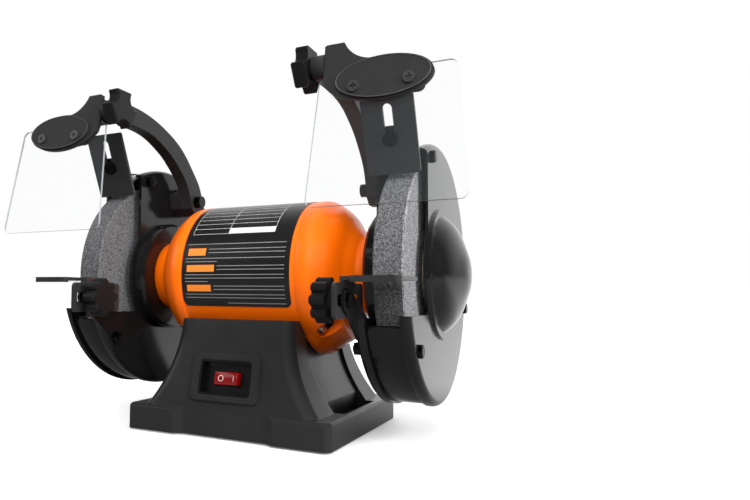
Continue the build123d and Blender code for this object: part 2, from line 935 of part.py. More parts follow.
def shaft():
    half = shaft_half_length
    edge = wheel_edge
    inner = wheel_x - blotter_thick - flange_rim
    seat = bearing_x - bearing_shoulder
    points = (
        (-half, 0),
        (-half, spindle_r - edge),
        (-half + edge, spindle_r),
        (-inner, spindle_r),
        (-inner, bearing_seat_r),
        (-seat, bearing_seat_r),
        (-seat, rotor_seat_r),
        (seat, rotor_seat_r),
        (seat, bearing_seat_r),
        (inner, bearing_seat_r),
        (inner, spindle_r),
        (half - edge, spindle_r),
        (half, spindle_r - edge),
        (half, 0),
    )
    return turned(points)


def rotor():
    core = ring_x(core_bore_r - air_gap, rotor_seat_r, -core_half_length, core_half_length)
    far = core_half_length + end_ring_width
    core += ring_x(end_ring_r, end_ring_r - end_ring_wall, core_half_length, far)
    core += ring_x(end_ring_r, end_ring_r - end_ring_wall, -far, -core_half_length)
    return core


def race_groove():
    x = bearing_x + bearing_width / 2
    circle = Plane.XZ * Pos(x, axis_z + ball_pitch_r) * Circle(ball_r + running_gap)
    return revolve(circle, shaft_axis)


def bearing_outer_race():
    return ring_x(bearing_r, bearing_r - race_wall, bearing_x, bearing_x + bearing_width) - race_groove()


def bearing_inner_race():
    outer = bearing_seat_r + race_wall
    return ring_x(outer, bearing_seat_r, bearing_x, bearing_x + bearing_width) - race_groove()


def bearing_cage():
    x = bearing_x + bearing_width / 2
    half = cage_width / 2
    cage = ring_x(ball_pitch_r + cage_half_thick, ball_pitch_r - cage_half_thick, x - half, x + half)
    for index in range(ball_count):
        y, z = around(ball_pitch_r, 360 * index / ball_count)
        cage += Pos(x, y, z) * Sphere(ball_r)
    return cage


def wheel():
    far = wheel_end_x
    points = (
        (wheel_x, spindle_r),
        (wheel_x, wheel_r - wheel_edge),
        (wheel_x + wheel_edge, wheel_r),
        (far - wheel_edge, wheel_r),
        (far, wheel_r - wheel_edge),
        (far, spindle_r),
    )
    return turned(points)


def wheel_blotters():
    far = wheel_end_x
    inner = ring_x(blotter_r, spindle_r, wheel_x - blotter_thick, wheel_x)
    outer = ring_x(blotter_r, spindle_r, far, far + blotter_thick)
    return pair([inner, outer])


def flange(face, out, hub_end, hub_r):
    """Dished flange: a face on the wheel, an outward direction along X and a hub."""
    web_x = face + out * flange_web
    relief_x = face + out * flange_relief
    land_r = flange_r - flange_land
    points = (
        (hub_end, spindle_r),
        (hub_end, hub_r),
        (web_x, flange_dish_r),
        (web_x, flange_r - flange_edge),
        (face + out * flange_edge, flange_r),
        (face, flange_r),
        (face, land_r),
        (relief_x, land_r - flange_land_step),
        (relief_x, spindle_r),
    )
    return turned(points)


def inner_flange():
    face = wheel_x - blotter_thick
    return flange(face, -1, face - flange_rim, flange_inner_hub_r)


def outer_flange():
    face = wheel_end_x + blotter_thick
    return flange(face, 1, face + flange_thick, flange_outer_hub_r)


def spindle_nut():
    return hex_x(nut_across, nut_x, nut_x + nut_thick, 0, axis_z, spindle_r)


# guards


def opening(edge_y, edge_z, hub_r):
    """Open front-top quarter of a guard sheet, in (y, z), leaving a disc around the shaft."""
    reach = 2 * guard_r
    quarter = Pos(edge_y - reach / 2, edge_z + reach / 2) * Rectangle(reach, reach)
    return quarter - Pos(0, axis_z) * Circle(hub_r)


def hub_screw_points():
    return [around(hub_screw_pitch_r, 90 + 360 * index / hub_screw_count) for index in range(hub_screw_count)]


def through_bolts():
    return [around(through_pitch_r, angle) for angle in through_angles]


def guard_inner():
    wheel_side = guard_plate_x + guard_plate_thick
    dish_in = neck_end_x + hub_dish_wall
    points = (
        (neck_end_x, hub_hole_r),
        (neck_end_x, hub_dish_r - hub_dish_wall),
        (neck_end_x + hub_dish_wall, hub_dish_r),
        (guard_plate_x, hub_dish_r),
        (guard_plate_x, guard_r - guard_edge),
        (guard_plate_x + guard_edge, guard_r),
        (guard_rim_end_x, guard_r),
        (guard_rim_end_x, guard_r - guard_sheet),
        (wheel_side, guard_r - guard_sheet),
        (wheel_side, hub_dish_r - hub_dish_wall),
        (dish_in, hub_dish_r - hub_dish_wall),
        (dish_in, hub_hole_r),
    )
    sheet = turned(points)
    quarter = opening(plate_edge_y, plate_edge_z, hub_dish_r + opening_margin)
    sheet -= plate_x(quarter, guard_plate_x, guard_rim_end_x)
    root_y = rest_ear_root - guard_r
    ear = Pos(rest_stud_y, rest_stud_z) * Circle(rest_ear_r)
    ear += make_face(
        Polyline(
            (rest_stud_y - rest_ear_r * 0.94, rest_stud_z - rest_ear_r * 0.34),
            (rest_stud_y + rest_ear_r * 0.5, rest_stud_z + rest_ear_r * 0.87),
            (root_y, plate_edge_z),
            (root_y, axis_z - rest_ear_low),
            (rest_ear_toe - guard_r, axis_z - rest_ear_low),
            close=True,
        )
    )
    sheet += plate_x(ear, guard_plate_x, wheel_side)
    sheet -= rod_x(rest_stud_r, guard_plate_x, wheel_side, rest_stud_y, rest_stud_z)
    sheet -= rod_x(arm_bolt_r, guard_plate_x, wheel_side, arm_bolt_y, arm_bolt_z)
    for y, z in through_bolts():
        sheet -= rod_x(through_bolt_r, guard_plate_x, wheel_side, y, z)
    for y, z in hub_screw_points():
        sheet -= rod_x(hub_screw_r, neck_end_x, dish_in, y, z)
    return sheet


def spark_plane():
    """Back face of the spark arrestor: x along the shaft, y up the plate from its edge at the wheel."""
    lean = radians(spark_lean)
    y, z = around(wheel_r + spark_gap, spark_angle)
    return Plane(origin=(spark_x, y, z), x_dir=(1, 0, 0), z_dir=(0, -cos(lean), -sin(lean)))


def spark_foot():
    """How far up the spark arrestor's plane the guard band's outside meets it."""
    y, z = around(wheel_r + spark_gap, spark_angle)
    lean = radians(spark_lean)
    climb = (z - axis_z) * cos(lean) - y * sin(lean)
    aside = hypot(y, z - axis_z) ** 2 - climb * climb
    return sqrt(band_r * band_r - aside) - climb


def spark_screw_at():
    return spark_foot() + spark_screw_rise


def guard_band():
    band = ring_x(band_r, band_r - band_thick, band_start_x, band_end_x)
    clear_x = (band_start_x + band_end_x) / 2 - spark_x
    width = band_end_x - band_start_x
    reach = 2 * guard_r
    face = spark_plane().offset(-spark_clear)
    front = extrude(face * Pos(clear_x, 0) * Rectangle(width, 2 * reach), reach)
    band -= front & box(band_start_x, band_end_x, -reach, 0, axis_z, axis_z + reach)
    band -= box(band_start_x, band_end_x, -reach, 0, band_front_z, axis_z)
    low = spark_foot() - spark_flange_lap
    high = spark_screw_at() + spark_flange_above
    flange = Pos(clear_x, (high + low) / 2) * Rectangle(width, high - low)
    band += extrude(face * flange, -spark_flange_thick)
    hole = Pos(0, spark_screw_at()) * Circle(spark_screw_r)
    return band - extrude(face * hole, -spark_flange_thick)


def wheel_cover():
    face = cover_face_x
    back = face - cover_sheet
    round_x = face - cover_rim_round
    round_r = guard_r - cover_rim_round
    lip = band_r
    step = cover_rim_round * (1 - sqrt(0.5))
    inner_step = (cover_rim_round - guard_sheet) * (1 - sqrt(0.5))
    tip_inside = dome_tip_x - dome_wall
    crown = []
    for along, share in dome_profile:
        crown.append((dome_ring_x + (dome_tip_x - dome_ring_x) * along, dome_foot_r * share))
    vault = []
    for along, share in dome_inside_profile:
        vault.append((back + (tip_inside - back) * along, dome_foot_r * share))
    outline = (
        Polyline((cover_rim_x, lip), (cover_rim_x, guard_r), (round_x, guard_r))
        + ThreePointArc((round_x, guard_r), (face - step, guard_r - step), (face, round_r))
        + Polyline(
            (face, round_r),
            (face, dome_ring_r),
            (dome_ring_x, dome_ring_r - dome_ring_rise / 2),
            (dome_ring_x, dome_foot_r),
        )
        + Spline((dome_ring_x, dome_foot_r), *crown, (dome_tip_x, 0), tangents=((0.75, -0.66), (0, -1)))
        + Polyline((dome_tip_x, 0), (tip_inside, 0))
        + Spline((tip_inside, 0), *vault, (back, dome_foot_r), tangents=((0, 1), (-0.75, 0.66)))
        + Polyline((back, dome_foot_r), (back, round_r))
        + ThreePointArc((back, round_r), (back - inner_step, lip - inner_step), (round_x, lip))
        + Polyline((round_x, lip), (cover_rim_x, lip))
    )
    cover = revolve(Plane.XZ * Pos(0, axis_z) * make_face(outline), shaft_axis)
    quarter = opening(cover_edge_y, cover_edge_z, dome_ring_r + opening_margin / 2)
    cover -= plate_x(quarter, cover_rim_x, dome_tip_x)
    for y, z in through_bolts():
        cover -= rod_x(through_bolt_r, back, face, y, z)
    return cover


def cover_bolts():
    bolts = []
    for y, z in through_bolts():
        bolt = rod_x(through_bolt_r, guard_plate_x - through_nut_thick - through_end, cover_face_x, y, z)
        head = rod_x(through_head_r, cover_face_x, cover_face_x + through_head_thick, y, z)
        bolts.append(bolt + fillet(head.faces().sort_by(Axis.X)[-1].edges(), through_head_round))
    return pair(bolts)


def guard_nuts():
    nuts = []
    for y, z in through_bolts():
        nut_from = guard_plate_x - through_nut_thick
        nuts.append(hex_x(through_nut_across, nut_from, guard_plate_x, y, z, through_bolt_r))
    return pair(nuts)


def guard_spacers():
    spacers = []
    start = guard_plate_x + guard_plate_thick
    for y, z in through_bolts():
        tube = rod_x(spacer_r, start, cover_face_x - cover_sheet, y, z)
        spacers.append(tube - rod_x(through_bolt_r, start, cover_face_x, y, z))
    return pair(spacers)


def hub_screws():
    screws = []
    seat = neck_end_x + hub_dish_wall
    for y, z in hub_screw_points():
        shank = rod_x(hub_screw_r, neck_end_x - hub_screw_depth, seat, y, z)
        screws.append(shank + rod_x(hub_head_r, seat, seat + hub_head_thick, y, z))
    return pair(screws)


def spark_arrestor():
    outline = Pos(0, spark_height / 2) * RectangleRounded(spark_width, spark_height, spark_corner_r)
    slot = SlotCenterToCenter(spark_slot_above + spark_slot_below, 2 * spark_slot_r, rotation=90)
    outline -= Pos(0, spark_screw_at() + (spark_slot_above - spark_slot_below) / 2) * slot
    return extrude(spark_plane() * outline, spark_thick)


def spark_screw():
    front = spark_plane()
    spot = Pos(0, spark_screw_at())
    back = spark_clear + spark_flange_thick
    seat = spark_thick + spark_clear
    screw = extrude(front.offset(seat) * spot * Circle(spark_head_r), spark_head_thick)
    screw = fillet(screw.faces().sort_by(Axis.Y)[0].edges(), spark_head_round)
    length = seat + back + spark_nut_thick + spark_screw_end
    screw += extrude(front.offset(seat) * spot * Circle(spark_screw_r), -length)
    nut = spot * RegularPolygon(spark_nut_across / sqrt(3), 6)
    return screw + extrude(front.offset(-back) * nut, -spark_nut_thick)


# shield arms and eye shields, drawn in a neutral place and then moved to each side's own lean


def arm_points(shares):
    """Points (y, z) of the arm from shares of the pivot's reach and rise."""
    return [(arm_bolt_y - pivot_reach * out, arm_bolt_z + pivot_rise * up) for out, up in shares]


def arm():
    eye = Pos(pivot_y, pivot_z) * Circle(pivot_eye_r)
    eye_top = (pivot_y, pivot_z + pivot_eye_r)
    eye_low = (pivot_y, pivot_z - pivot_eye_r)
    heel, toe = arm_points((arm_heel, arm_toe))
    outline = make_face(
        Spline(eye_top, *arm_points(arm_back_edge), heel)
        + Polyline(heel, *arm_points(arm_foot), toe)
        + Spline(toe, *arm_points(arm_front_edge), eye_low)
        + Line(eye_low, eye_top)
    )
    outer_x = arm_x + arm_width
    bar = plate_x(outline + eye, arm_x, outer_x)
    bar -= rod_x(arm_sweep_r, arm_eye_end_x, outer_x, pivot_y, pivot_z)
    edge = arm_points((arm_front_edge[0], arm_back_edge[-2]))
    pad = make_face(Polyline(heel, *arm_points(arm_foot), toe, *edge, close=True))
    bar += plate_x(pad, outer_x - arm_pad_lap, guard_plate_x)
    bar -= rod_x(arm_bolt_r, arm_x, guard_plate_x, arm_bolt_y, arm_bolt_z)
    return bar - rod_x(stud_hole_r, arm_x, arm_eye_end_x, pivot_y, pivot_z)


def arm_bolt():
    inside = guard_plate_x + guard_plate_thick
    bolt = rod_x(arm_bolt_r, arm_x, inside + arm_nut_thick, arm_bolt_y, arm_bolt_z)
    bolt += rod_x(arm_head_r, arm_x - arm_head_thick, arm_x, arm_bolt_y, arm_bolt_z)
    nut = Pos(arm_bolt_y, arm_bolt_z) * RegularPolygon(arm_nut_across / sqrt(3), 6)
    return bolt + plate_x(nut, inside, inside + arm_nut_thick)


def shield_plane(depth):
    """Upright plane through the pivot, a depth in front of it; x along the shaft, y up."""
    return Plane(origin=(0, pivot_y - depth, pivot_z), x_dir=(1, 0, 0), z_dir=(0, -1, 0))


def leaf_outline(margin):
    leaf = Ellipse(leaf_length / 2 + margin, leaf_height / 2 + margin)
    return Pos(bracket_x + leaf_centre, -leaf_drop) * leaf


def bracket_outline():
    """Front view of the bracket: an ear over the pivot that runs out into a leaf."""
    ear_end = (bracket_x + bracket_ear_length, bracket_ear_top)
    curve = [(bracket_x + x, z) for x, z in bracket_curve]
    lower = [(bracket_x + x, z) for x, z in bracket_low_edge]
    inner_x = lower[-1][0]
    face = make_face(
        Polyline(
            lower[-1],
            (bracket_x, -bracket_half_height),
            (bracket_x, bracket_half_height),
            (inner_x, bracket_ear_top),
            ear_end,
        )
        + Spline(ear_end, *curve)
        + Polyline(curve[-1], (curve[-1][0], lower[0][1]), lower[0])
        + Spline(*lower)
    )
    return face + leaf_outline(leaf_rim)


def shield_bracket():
    bracket = extrude(shield_plane(bracket_front - bracket_thick) * bracket_outline(), bracket_thick)
    bracket += extrude(shield_plane(bracket_front) * leaf_outline(0), leaf_rise)
    front = pivot_y - bracket_front
    back = pivot_y + bracket_block_back
    low = pivot_z - bracket_block_half_height
    high = pivot_z + bracket_block_half_height
    block = box(bracket_x, bracket_block_end_x, front, back, low, high)
    bracket += chamfer(block.faces().sort_by(Axis.Y)[-1].edges(), bracket_block_edge)
    bracket -= rod_x(stud_hole_r, bracket_x, bracket_block_end_x - bracket_block_cap, pivot_y, pivot_z)
    for x, drop in shield_screw_points():
        hole = Pos(x, -drop) * Circle(shield_screw_r)
        bracket -= extrude(shield_plane(bracket_front + leaf_rise) * hole, -leaf_rise - bracket_thick)
    return tilted(bracket)


def shield_screw_points():
    inner = (bracket_x + shield_screw_in, shield_screw_in_drop)
    return inner, (bracket_x + shield_screw_out, shield_screw_out_drop)


def tilted(shape):
    return shape.rotate(Axis((0, pivot_y, pivot_z), (1, 0, 0)), -shield_tilt)


def eye_shield():
    outline = make_face(
        Polyline(
            (bracket_x - shield_low_in, -shield_low_drop),
            (bracket_x + shield_low_out, -shield_low_drop),
            (bracket_x + shield_top_out, -shield_top_drop),
            (bracket_x - shield_top_in, -shield_top_drop),
            close=True,
        )
    )
    outline = fillet(outline.vertices(), shield_corner_r)
    for x, drop in shield_screw_points():
        outline -= Pos(x, -drop) * Circle(shield_screw_r)
    return tilted(extrude(shield_plane(bracket_front - bracket_thick) * outline, -shield_thick))


def shield_backing():
    back = bracket_front - bracket_thick - shield_thick
    length = shield_screw_out - shield_screw_in + 2 * backing_margin
    middle = bracket_x + (shield_screw_in + shield_screw_out) / 2
    drop = (shield_screw_in_drop + shield_screw_out_drop) / 2
    outline = Pos(middle, -drop) * RectangleRounded(length, backing_height, backing_corner_r)
    for x, drop in shield_screw_points():
        outline -= Pos(x, -drop) * Circle(shield_screw_r)
    return tilted(extrude(shield_plane(back) * outline, -backing_thick))


def shield_screws():
    screws = []
    seat = bracket_front + leaf_rise
    length = leaf_rise + bracket_thick + shield_thick + backing_thick
    for x, drop in shield_screw_points():
        spot = Pos(x, -drop)
        screw = extrude(shield_plane(seat) * spot * Circle(shield_head_r), shield_head_thick)
        cross = Rectangle(shield_cross_length, shield_cross_width)
        cross += Rectangle(shield_cross_width, shield_cross_length)
        screw -= extrude(shield_plane(seat + shield_head_thick) * spot * cross, -shield_cross_depth)
        screw += extrude(shield_plane(seat) * spot * Circle(shield_screw_r), -length)
        screws.append(tilted(screw))
    return group(screws)


def shield_knob():
    face = RegularPolygon(knob_r, knob_side_count)
    half_turn = radians(180 / knob_side_count)
    half_chord = knob_r * sin(half_turn) - knob_land
    hollow_r = (half_chord**2 + knob_hollow_depth**2) / (2 * knob_hollow_depth)
    pitch_r = knob_r * cos(half_turn) - knob_hollow_depth + hollow_r
    for index in range(0, knob_side_count, 2):
        angle = (2 * index + 1) * half_turn
        face -= Pos(pitch_r * cos(angle), pitch_r * sin(angle)) * Circle(hollow_r)
    face = fillet(face.vertices(), min(knob_corner_r, 0.86 * knob_land))
    knob = plate_x(Pos(pivot_y, pivot_z) * face, knob_x, knob_x + knob_width)
    knob = chamfer(knob.faces().sort_by(Axis.X)[0].edges(), knob_edge)
    neck_end = arm_x - knob_gap
    knob += rod_x(knob_neck_r, neck_end - knob_neck_length, neck_end, pivot_y, pivot_z)
    stud_end = bracket_block_end_x - bracket_block_cap - stud_end_gap
    return knob + rod_x(stud_r, neck_end, stud_end, pivot_y, pivot_z)


# tool rests


def tool_rest():
    low = rest_top_z - rest_sheet
    tab_front = rest_front_y + rest_tab_front
    tab_back = rest_back_y - rest_tab_back
    table = Pos((rest_in_x + rest_out_x) / 2, (rest_front_y + rest_back_y) / 2) * Rectangle(
        rest_out_x - rest_in_x, rest_back_y - rest_front_y
    )
    table = fillet(table.vertices().sort_by(Axis.Y)[:2], rest_corner_r)
    rest = extrude(Plane.XY.offset(low) * table, rest_sheet)
    lip = extrude(Plane.XY.offset(rest_top_z - rest_lip) * table, rest_lip)
    lip -= extrude(Plane.XY * offset(table, -rest_sheet), rest_top_z)
    rest += lip & box(rest_in_x, rest_out_x, rest_front_y, rest_front_y + rest_corner_r, 0, rest_top_z)
    rest += box(leg_from_x, rest_in_x + rest_sheet, tab_front, tab_back, low, rest_top_z)
    middle = (leg_back_y + rest_front_y) / 2
    leg = Pos(middle, leg_low_z + leg_height / 2) * RectangleRounded(
        leg_back_y - rest_front_y, leg_height, leg_corner_r
    )
    leg += Pos((tab_front + tab_back) / 2, (leg_high_z - leg_corner_r + low) / 2) * Rectangle(
        tab_back - tab_front, low - leg_high_z + leg_corner_r
    )
    slot_front = rest_front_y + leg_slot_front
    slot_back = leg_back_y - leg_slot_back
    leg -= Pos((slot_front + slot_back) / 2, rest_stud_z) * RectangleRounded(
        slot_back - slot_front, leg_slot_height, leg_slot_round
    )
    return rest + plate_x(leg, leg_from_x, leg_to_x)


def rest_stud():
    end = guard_plate_x + guard_plate_thick
    stud = rod_x(rest_stud_r, rest_stud_end_x, end, rest_stud_y, rest_stud_z)
    return stud + rod_x(rest_stud_r + rest_stud_head, end, end + rest_stud_head, rest_stud_y, rest_stud_z)


def rest_knob():
    face = Circle(star_core_r)
    for index in range(star_lobe_count):
        turn = radians(360 * index / star_lobe_count)
        face += Pos(star_lobe_pitch_r * cos(turn), star_lobe_pitch_r * sin(turn)) * Circle(star_lobe_r)
    knob = plate_x(Pos(rest_stud_y, rest_stud_z) * face, star_x, star_x + star_width)
    knob = chamfer(knob.faces().sort_by(Axis.X)[0].edges(), star_edge)
    knob += rod_x(star_neck_r, star_x + star_width, star_neck_end_x, rest_stud_y, rest_stud_z)
    bore_r = rest_stud_r + star_bore_clear
    return knob - rod_x(bore_r, rest_stud_end_x - star_edge, star_neck_end_x, rest_stud_y, rest_stud_z)


def leaned(shape, lean):
    """An arm turned about its bolt."""
    return shape.rotate(Axis((0, arm_bolt_y, arm_bolt_z), (1, 0, 0)), lean)


def carried(shape, lean):
    """A piece moved along with the arm's eye, keeping its own tilt."""
    turn = radians(lean)
    y = pivot_y - arm_bolt_y
    z = pivot_z - arm_bolt_z
    shift_y = y * cos(turn) - z * sin(turn) - y
    shift_z = y * sin(turn) + z * cos(turn) - z
    return Pos(0, shift_y, shift_z) * shape


def build():
    parts = {
        "base": base(),
        "base_plate": base_plate(),
        "base_plate_screws": base_plate_screws(),
        "rubber_feet": rubber_feet(),
        "saddle_bolts": saddle_bolts(),
        "switch_body": switch_body(),
        "switch_rocker": switch_rocker(),
        "capacitor": capacitor(),
        "capacitor_clamp": capacitor_clamp(),
        "terminal_block": terminal_block(),
        "cord_gland": cord_gland(),
        "motor_shell": motor_shell(),
        "stator_core": stator_core(),
        "stator_windings": stator_windings(),
        "tie_bolts": tie_bolts(),
        "label_film": label(),
        "shaft": shaft(),
        "rotor": rotor(),
        "bearing_outer_races": pair([bearing_outer_race()]),
        "bearing_inner_races": pair([bearing_inner_race()]),
        "bearing_cages": pair([bearing_cage()]),
        "wheel_blotters": wheel_blotters(),
        "inner_flanges": pair([inner_flange()]),
        "outer_flanges": pair([outer_flange()]),
        "spindle_nuts": pair([spindle_nut()]),
        "cover_bolts": cover_bolts(),
        "guard_nuts": guard_nuts(),
        "guard_spacers": guard_spacers(),
        "hub_screws": hub_screws(),
        "spark_screws": pair([spark_screw()]),
        "rest_studs": pair([rest_stud()]),
        "arm_bolts": pair([arm_bolt()]),
    }
    sided = {
        "end_bell": end_bell(),
        "wheel": wheel(),
        "guard_inner": guard_inner(),
        "guard_band": guard_band(),
        "wheel_cover": wheel_cover(),
        "spark_arrestor": spark_arrestor(),
        "tool_rest": tool_rest(),
        "rest_knob": rest_knob(),
    }
    for name, shape in sided.items():
        parts[name + "_right"] = shape
        parts[name + "_left"] = mirrored(shape)
    parts["shield_arm_right"] = leaned(arm(), arm_lean_right)
    parts["shield_arm_left"] = mirrored(leaned(arm(), arm_lean_left))
    shields = {
        "shield_bracket": shield_bracket(),
        "eye_shield": eye_shield(),
        "shield_backing": shield_backing(),
        "shield_screws": shield_screws(),
        "shield_knob": shield_knob(),
    }
    for name, shape in shields.items():
        parts[name + "_right"] = carried(shape, arm_lean_right)
        parts[name + "_left"] = mirrored(carried(shape, arm_lean_left))
    return parts


os.makedirs("parts", exist_ok=True)
for node, shape in build().items():
    export_step(shape, f"parts/{node}.step")
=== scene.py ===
"""Looks of a bench grinder: orange motor, black guards, clear eye shields, dark grey cast base."""

import json
import logging
import math
from dataclasses import dataclass
from enum import Enum

import bmesh
import bpy
from mathutils import Matrix, Vector
from mathutils.bvhtree import BVHTree

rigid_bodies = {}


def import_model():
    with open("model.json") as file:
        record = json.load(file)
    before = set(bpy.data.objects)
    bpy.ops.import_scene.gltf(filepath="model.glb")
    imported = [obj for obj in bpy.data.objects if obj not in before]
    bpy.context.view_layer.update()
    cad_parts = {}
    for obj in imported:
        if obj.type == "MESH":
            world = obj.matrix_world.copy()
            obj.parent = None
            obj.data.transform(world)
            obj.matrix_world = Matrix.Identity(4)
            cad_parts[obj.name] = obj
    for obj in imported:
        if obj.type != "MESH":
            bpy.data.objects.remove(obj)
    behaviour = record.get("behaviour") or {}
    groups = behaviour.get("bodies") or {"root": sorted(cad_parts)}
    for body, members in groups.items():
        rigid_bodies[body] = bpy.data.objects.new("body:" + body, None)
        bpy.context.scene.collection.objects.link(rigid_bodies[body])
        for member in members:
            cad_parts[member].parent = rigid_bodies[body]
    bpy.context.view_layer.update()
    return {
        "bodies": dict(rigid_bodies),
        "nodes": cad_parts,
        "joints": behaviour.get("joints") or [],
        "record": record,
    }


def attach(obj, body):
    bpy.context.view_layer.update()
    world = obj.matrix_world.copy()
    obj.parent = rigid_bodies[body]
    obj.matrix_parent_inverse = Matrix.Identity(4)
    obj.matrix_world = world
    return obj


LOG = logging.getLogger("bench_grinder")
MM = 0.001
# Height of the motor's axis above the bench.
AXIS_Z = 151.0 * MM
# Broken edges: corners nearer than this are joined first, and flatter folds stay as they are.
WELD = 0.002 * MM
EDGE_FACETS = 2
EDGE_FROM_DEG = 38.0
# Cosine above which a face counts as looking straight along a direction.
SQUARE = 0.999
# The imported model, filled by main().
FRAME: dict = {}


class Side(Enum):
    """The two wheel ends, with the sign of x each one has."""

    LEFT = -1
    RIGHT = 1

    @property
    def tag(self) -> str:
        """Ending of this side's node names."""
        return self.name.lower()


@dataclass(frozen=True)
class Ramp:
    """Straight change of a value between two places, level outside them."""

    start: float
    end: float
    low: float = 0.0
    high: float = 1.0

    def settings(self) -> dict[str, float]:
        """The four limits, as a Map Range node takes them."""
        return {"From Min": self.start, "From Max": self.end, "To Min": self.low, "To Max": self.high}


def linear(hex_colour: str) -> tuple[float, float, float, float]:
    """Turn an sRGB hex colour into the linear values that shaders take.

    Args:
        hex_colour: colour such as "#ff7a0a".

    Returns:
        Red, green, blue and an alpha of 1.
    """
    channels = []
    for start in (1, 3, 5):
        value = int(hex_colour[start : start + 2], 16) / 255.0
        channels.append(value / 12.92 if value <= 0.04045 else ((value + 0.055) / 1.055) ** 2.4)
    return channels[0], channels[1], channels[2], 1.0


def add(
    tree: bpy.types.NodeTree, kind: str, settings: dict | None = None, links: dict | None = None
) -> bpy.types.Node:
    """Add one shader node with its settings and incoming links.

    Args:
        tree: node tree to add to.
        kind: Blender's name of the node type.
        settings: values by input name or number; a name that is no input is set as a property.
        links: output sockets by the input name or number that they feed.

    Returns:
        The new node.
    """
    made = tree.nodes.new(kind)
    for name, value in (settings or {}).items():
        if isinstance(name, int) or name in made.inputs:
            made.inputs[name].default_value = value
        else:
            setattr(made, name, value)
    for name, socket in (links or {}).items():
        tree.links.new(socket, made.inputs[name])
    return made


def new_material(name: str) -> tuple[bpy.types.Material, bpy.types.NodeTree, bpy.types.Node]:
    """Start an empty material.

    Args:
        name: the material's name.

    Returns:
        The material, its node tree and its output node.
    """
    made = bpy.data.materials.new(name)
    made.use_nodes = True
    made.node_tree.nodes.clear()
    return made, made.node_tree, add(made.node_tree, "ShaderNodeOutputMaterial")


@dataclass(frozen=True)
class Coating:
    """A paint, plastic or plated surface: two close tones, a fine relief and a slightly uneven gloss.

    The tones drift over tens of millimetres as a real coat does, and the relief is the peel of the paint or
    the spark texture of the mould. Clouds are the noise levels between which the tones and the gloss change.
    Where a rounding is given, sharp edges catch the light as a cast edge does.
    """

    name: str
    light: str
    dark: str
    roughness: float
    roughness_spread: float = 0.05
    metallic: float = 0.0
    ior: float = 1.5
    coat: float = 0.0
    coat_roughness: float = 0.05
    drift_mm: float = 40.0
    relief_mm: float = 1.2
    relief_depth_mm: float = 0.02
    relief_strength: float = 0.6
    round_mm: float = 0.0
    round_samples: int = 6
    clouds: tuple[float, float] = (0.3, 0.7)

    def make(self) -> bpy.types.Material:
        """Build the material.

        Returns:
            The finished material.
        """
        made, tree, output = new_material(self.name)
        place = add(tree, "ShaderNodeTexCoord").outputs["Object"]
        drift = add(
            tree,
            "ShaderNodeTexNoise",
            {"Scale": 1.0 / (self.drift_mm * MM), "Detail": 4.0, "Roughness": 0.6},
            {"Vector": place},
        )
        share = add(tree, "ShaderNodeMapRange", Ramp(*self.clouds).settings(), {"Value": drift.outputs["Fac"]})
        tones = add(
            tree,
            "ShaderNodeMix",
            {"data_type": "RGBA", 6: linear(self.dark), 7: linear(self.light)},
            {0: share.outputs["Result"]},
        )
        fine = add(
            tree,
            "ShaderNodeTexNoise",
            {"Scale": 1.0 / (self.relief_mm * MM), "Detail": 3.0, "Roughness": 0.55},
            {"Vector": place},
        )
        spread = Ramp(*self.clouds, self.roughness - self.roughness_spread, self.roughness + self.roughness_spread)
        gloss = add(tree, "ShaderNodeMapRange", spread.settings(), {"Value": drift.outputs["Fac"]})
        bump = add(
            tree,
            "ShaderNodeBump",
            {"Strength": self.relief_strength, "Distance": self.relief_depth_mm * MM},
            {"Height": fine.outputs["Fac"]},
        )
        if self.round_mm > 0.0:
            edge = add(tree, "ShaderNodeBevel", {"samples": self.round_samples, "Radius": self.round_mm * MM})
            tree.links.new(edge.outputs["Normal"], bump.inputs["Normal"])
        shader = add(
            tree,
            "ShaderNodeBsdfPrincipled",
            {
                "Metallic": self.metallic,
                "IOR": self.ior,
                "Coat Weight": self.coat,
                "Coat Roughness": self.coat_roughness,
            },
            {"Base Color": tones.outputs[2], "Roughness": gloss.outputs["Result"], "Normal": bump.outputs["Normal"]},
        )
        tree.links.new(shader.outputs["BSDF"], output.inputs["Surface"])
        return made


